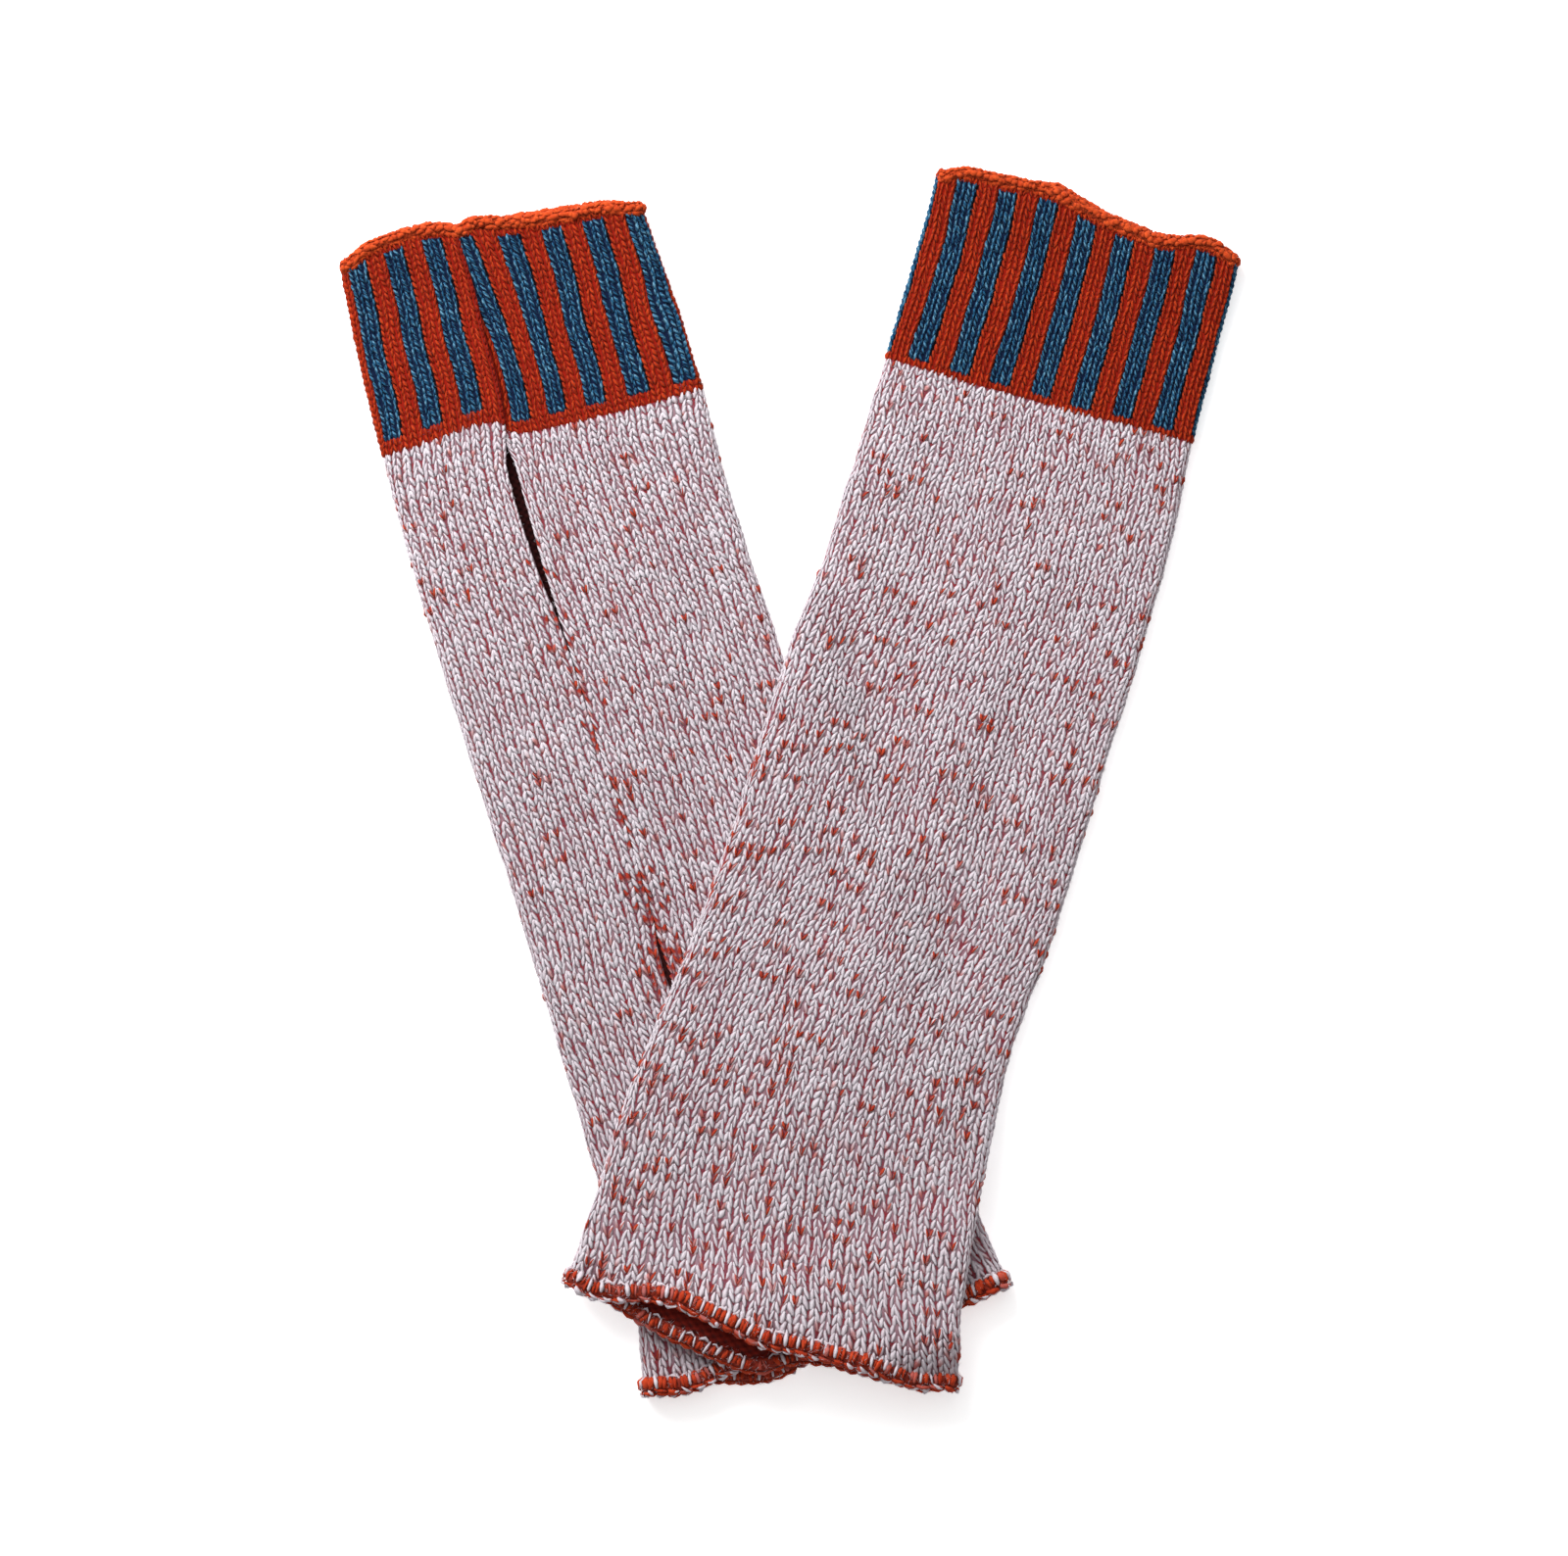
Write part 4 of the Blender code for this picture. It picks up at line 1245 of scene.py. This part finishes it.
# outward: 1 where the sleeve lies before the edge line, -1 where it lies past it
# stagger: how far every other row of bumps is moved, in wales
Ending = namedtuple("Ending", "label panel line radius outward outset fold_inset core_depth "
                              "core yarn rows stagger spread")
HEM_ROLL = Ending("hem", "sleeve", "hem", 2.3, 1, 0.4, 0.9, 0.45, hem_core, hem_yarn,
                  HEM_ROWS, 0.0, 0.30)
CUFF_ROLL = Ending("cuff_edge", "cuff", "cuff_edge", 1.6, -1, -0.35, 0.45, 0.20, cuff_core,
                   edge_yarn, CUFF_ROWS, 0.5, 0.46)


def rolled_end(warmer, ending, seed):
    """The roll with its core and bumps. The face yarn covers a hem roll in places."""
    rng = np.random.default_rng(seed)
    name = f"{warmer.name}_{ending.label}"
    wales = KNITS[f"{warmer.name}_{ending.panel}"].wales
    roll = Roll(warmer, getattr(warmer, ending.line), ending.radius, wales, ending.outward,
                ending.outset, ending.fold_inset)
    core = roll_core(f"{name}_core", roll, ending.core_depth, ending.core)
    strands = Strands(FINE_RINGS, ROUNDED)

    def muted(wale):
        """How far the face yarn covers the bumps, from 0 to 1."""
        at = np.rint(wale / roll.wales * (len(roll.share) - 1)).astype(int) % len(roll.share)
        pale_end = warmer.drapes * smooth_step((0.2 - roll.share[at]) / 0.08)
        patch = 0.25 + 0.4 * waves(seed, wale * WALE_LENGTH, 0 * wale, 16)
        return np.clip(patch + 0.8 * pale_end, 0, 1) * (ending is HEM_ROLL)

    for number, bump in enumerate(ending.rows):
        add_bumps(strands, roll, bump, rng, muted, ending.stagger * (number % 2), ending.spread)
    bumps = strands.join(f"{name}_bumps", 2.6, ending.yarn)
    show((core, bumps))
    return roll, core, bumps


rolls = {}
for kind, ending, seeds in (("hem", HEM_ROLL, (31, 37)), ("cuff", CUFF_ROLL, (41, 43))):
    for warmer, seed in zip((LOWER, UPPER), seeds):
        rolls[f"{warmer.name}_{kind}"] = rolled_end(warmer, ending, seed)

# %% [markdown]
# ## Loose fibres
#
# Wool is never clean-edged: fine fibres stand out of every strand. They matter most along the
# folds, the lips of the thumb opening and the curled ends, where they soften the outline. Each is
# a very thin strand that rises from the cloth at one end, in the colour of the yarn it leaves.


# %% Fibres
FIBRE_LENGTH, FIBRE_LIFT, FIBRE_BEND = (0.7, 2.1), (0.05, 0.55), 0.16


def fibre_fuzz(name, base, count, last, plate_at, yarn, reach, half):
    """Thin fibres on a panel or a roll, up to the course last. half is half a fibre's width."""
    rng = np.random.default_rng(len(name) * 101)
    strands = Strands(HAIR_RINGS)
    share = np.array(HAIR_RINGS)[None, :]
    wale, course = rng.uniform(0, base.wales, count), rng.uniform(0, last, count)
    if isinstance(base, Knit):
        seen = base.about("level", wale, course) > SEEN_LEVEL
        wale, course = wale[seen], course[seen]
    count = len(wale)
    way = rng.uniform(0, 2 * math.pi, count)
    length = rng.uniform(*FIBRE_LENGTH, count) * reach
    run = np.stack([np.cos(way), np.sin(way)], -1) * length[:, None]
    side = np.stack([-run[:, 1], run[:, 0]], -1) * rng.normal(0, FIBRE_BEND, (count, 1))
    path = (share[..., None] - 0.5) * run[:, None]
    path = path + np.sin(math.pi * share)[..., None] * side[:, None]
    lift = rng.uniform(*FIBRE_LIFT, (count, 1)) * reach
    half_width = np.full((count, 3), half)
    tint = rng.uniform(0.4, 1, count)
    plate = np.repeat(np.asarray(plate_at(wale, course, rng), float)[:, None], 3, 1)
    strands.add(base, wale, course, with_height(path, -0.25 + share * lift * 1.6 + 0.12),
                half_width, half_width * 1.3, tint, plate)
    return strands.join(name, 2.0, yarn)


def partly_orange(share):
    """A rule by which this share of the fibres is orange."""
    return lambda wale, course, rng: rng.random(len(wale)) < share


def all_orange(wale, course, rng):
    return np.ones(len(wale))


def striped(wale, course, rng):
    """A rule by which the fibres have the colour of their stripe."""
    return ~is_blue(UPPER, np.floor(wale), np.floor(course))


fuzz = {}
for place in PLACES:
    sleeve_knit, cuff_knit = KNITS[f"{place}_sleeve"], KNITS[f"{place}_cuff"]
    hem_roll, cuff_roll = rolls[f"{place}_hem"][0], rolls[f"{place}_cuff"][0]
    fuzz[place] = {
        "sleeve": fibre_fuzz(f"{place}_sleeve_fuzz", sleeve_knit, 9000, sleeve_knit.courses,
                             partly_orange(0.12), sleeve_yarn, 1.0, 0.032),
        "cuff": fibre_fuzz(f"{place}_cuff_fuzz", cuff_knit, 5000, cuff_knit.courses,
                           striped, cuff_yarn, 0.9, 0.032),
        "hem_roll": fibre_fuzz(f"{place}_hem_fuzz", hem_roll, 3600, hem_roll.around,
                               partly_orange(0.5), hem_yarn, 1.15, 0.045),
        "cuff_roll": fibre_fuzz(f"{place}_cuff_edge_fuzz", cuff_roll, 3900, cuff_roll.around,
                                all_orange, edge_yarn, 0.95, 0.05),
    }
    show(fuzz[place].values())

# %% [markdown]
# ## Handing the pieces to the frame
#
# Every piece moves with the one body of the row. Each fabric sheet stands for its CAD solid, which
# is hidden, and the size of its flat cut is the girth and the length of the panel. The stitches
# and flecks move with their sheet, and the CAD solid of each curled end is hidden too.

# %% Ride and replace
for place in PLACES:
    *sleeve_parts, cuff_part = parts[place]
    under = ["table"] if place == "lower" else ["lower_sleeve_fabric", "table"]
    for piece in (*sleeve_parts, cuff_part, sheets[f"{place}_sleeve"], sheets[f"{place}_cuff"],
                  *rolls[f"{place}_hem"][1:], *rolls[f"{place}_cuff"][1:],
                  *fuzz[place].values()):
        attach(piece, "root")
    for kind, pieces in (("sleeve", sleeve_parts), ("cuff", [cuff_part])):
        sheet, knit = sheets[f"{place}_{kind}"], KNITS[f"{place}_{kind}"]
        end = "hem" if kind == "sleeve" else "cuff"
        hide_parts(f"{place}_{kind}")
        pieces = [*pieces, fuzz[place][kind]]
        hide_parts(f"{place}_{end}_roll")
        knit.girth * MM
        print(sheet.name, "flat", round(knit.girth), "x", round(knit.length), "mm")

# %% [markdown]
# ## Table, light and camera
#
# The pair lies on a plain pale table, which also glows a little: painted light that keeps it white
# and washes out the shadows on it. One broad soft light comes from the upper left and a wide one
# from above fills the shadows, as in a simple product studio. The camera looks straight down
# through a long lens, so that nothing leans.


# %% Table
def table_look():
    look = Look("pale_table")
    grain = look.noise(60, 2)
    shade = look.blend(colour(247, 247, 247), colour(250, 250, 250), grain)
    material = look.finish(shade, 0.9, grain, 0.0, 0.02)
    shader = next(node for node in look.tree.nodes if node.type == "BSDF_PRINCIPLED")
    # The table glows a little: painted light that keeps it white and washes out the shadows on it
    shader.inputs["Emission Color"].default_value = (1, 1, 1, 1)
    shader.inputs["Emission Strength"].default_value = 0.55
    return material


TABLE_DROP = 0.0002  # keeps the table's top just under the lowest stitches
bpy.ops.mesh.primitive_plane_add(size=6.0, location=(0, 0, -TABLE_DROP))
table = bpy.context.object
table.name = "table"
table.data.materials.append(table_look())
table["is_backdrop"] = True


# %% Lights
def soft_light(name, place, size, power):
    """A square studio light that looks at the middle of the pair: size in metres, power in W."""
    light = bpy.data.lights.new(name, "AREA")
    light.shape, light.size, light.energy = "SQUARE", size, power
    made = add_object(name, light, place)
    made.rotation_euler = (-made.location).to_track_quat("-Z", "Y").to_euler()


soft_light("key", (-0.38, 0.60, 0.46), 0.60, 10.2)
soft_light("overhead", (-0.1, 0.8, 1.6), 1.8, 12)
world = bpy.data.worlds.new("studio")
world.use_nodes = True
world.node_tree.nodes["Background"].inputs["Color"].default_value = (1, 1, 1, 1)
world.node_tree.nodes["Background"].inputs["Strength"].default_value = 0.24
bpy.context.scene.world = world
bpy.context.scene.view_settings.view_transform = "Standard"

# %% Camera
LENS, SENSOR = 180.0, 36.0  # millimetres, as on a real camera
VIEW_WIDTH = 0.400  # metres of the table that fit across the picture
VIEW_CENTRE = (-0.0015, 0.0012)
VIEW_PLANE = 0.004  # height at which that width holds
camera = bpy.data.cameras.new("camera")
camera.lens, camera.sensor_width = LENS, SENSOR
camera.clip_start, camera.clip_end = 0.05, 20
bpy.context.scene.camera = add_object(
    "camera", camera, (*VIEW_CENTRE, VIEW_PLANE + VIEW_WIDTH * LENS / SENSOR))

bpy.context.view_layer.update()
total = sum(len(p.vertices) - 2 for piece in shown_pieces() for p in piece.data.polygons)
print("triangles in all:", total)
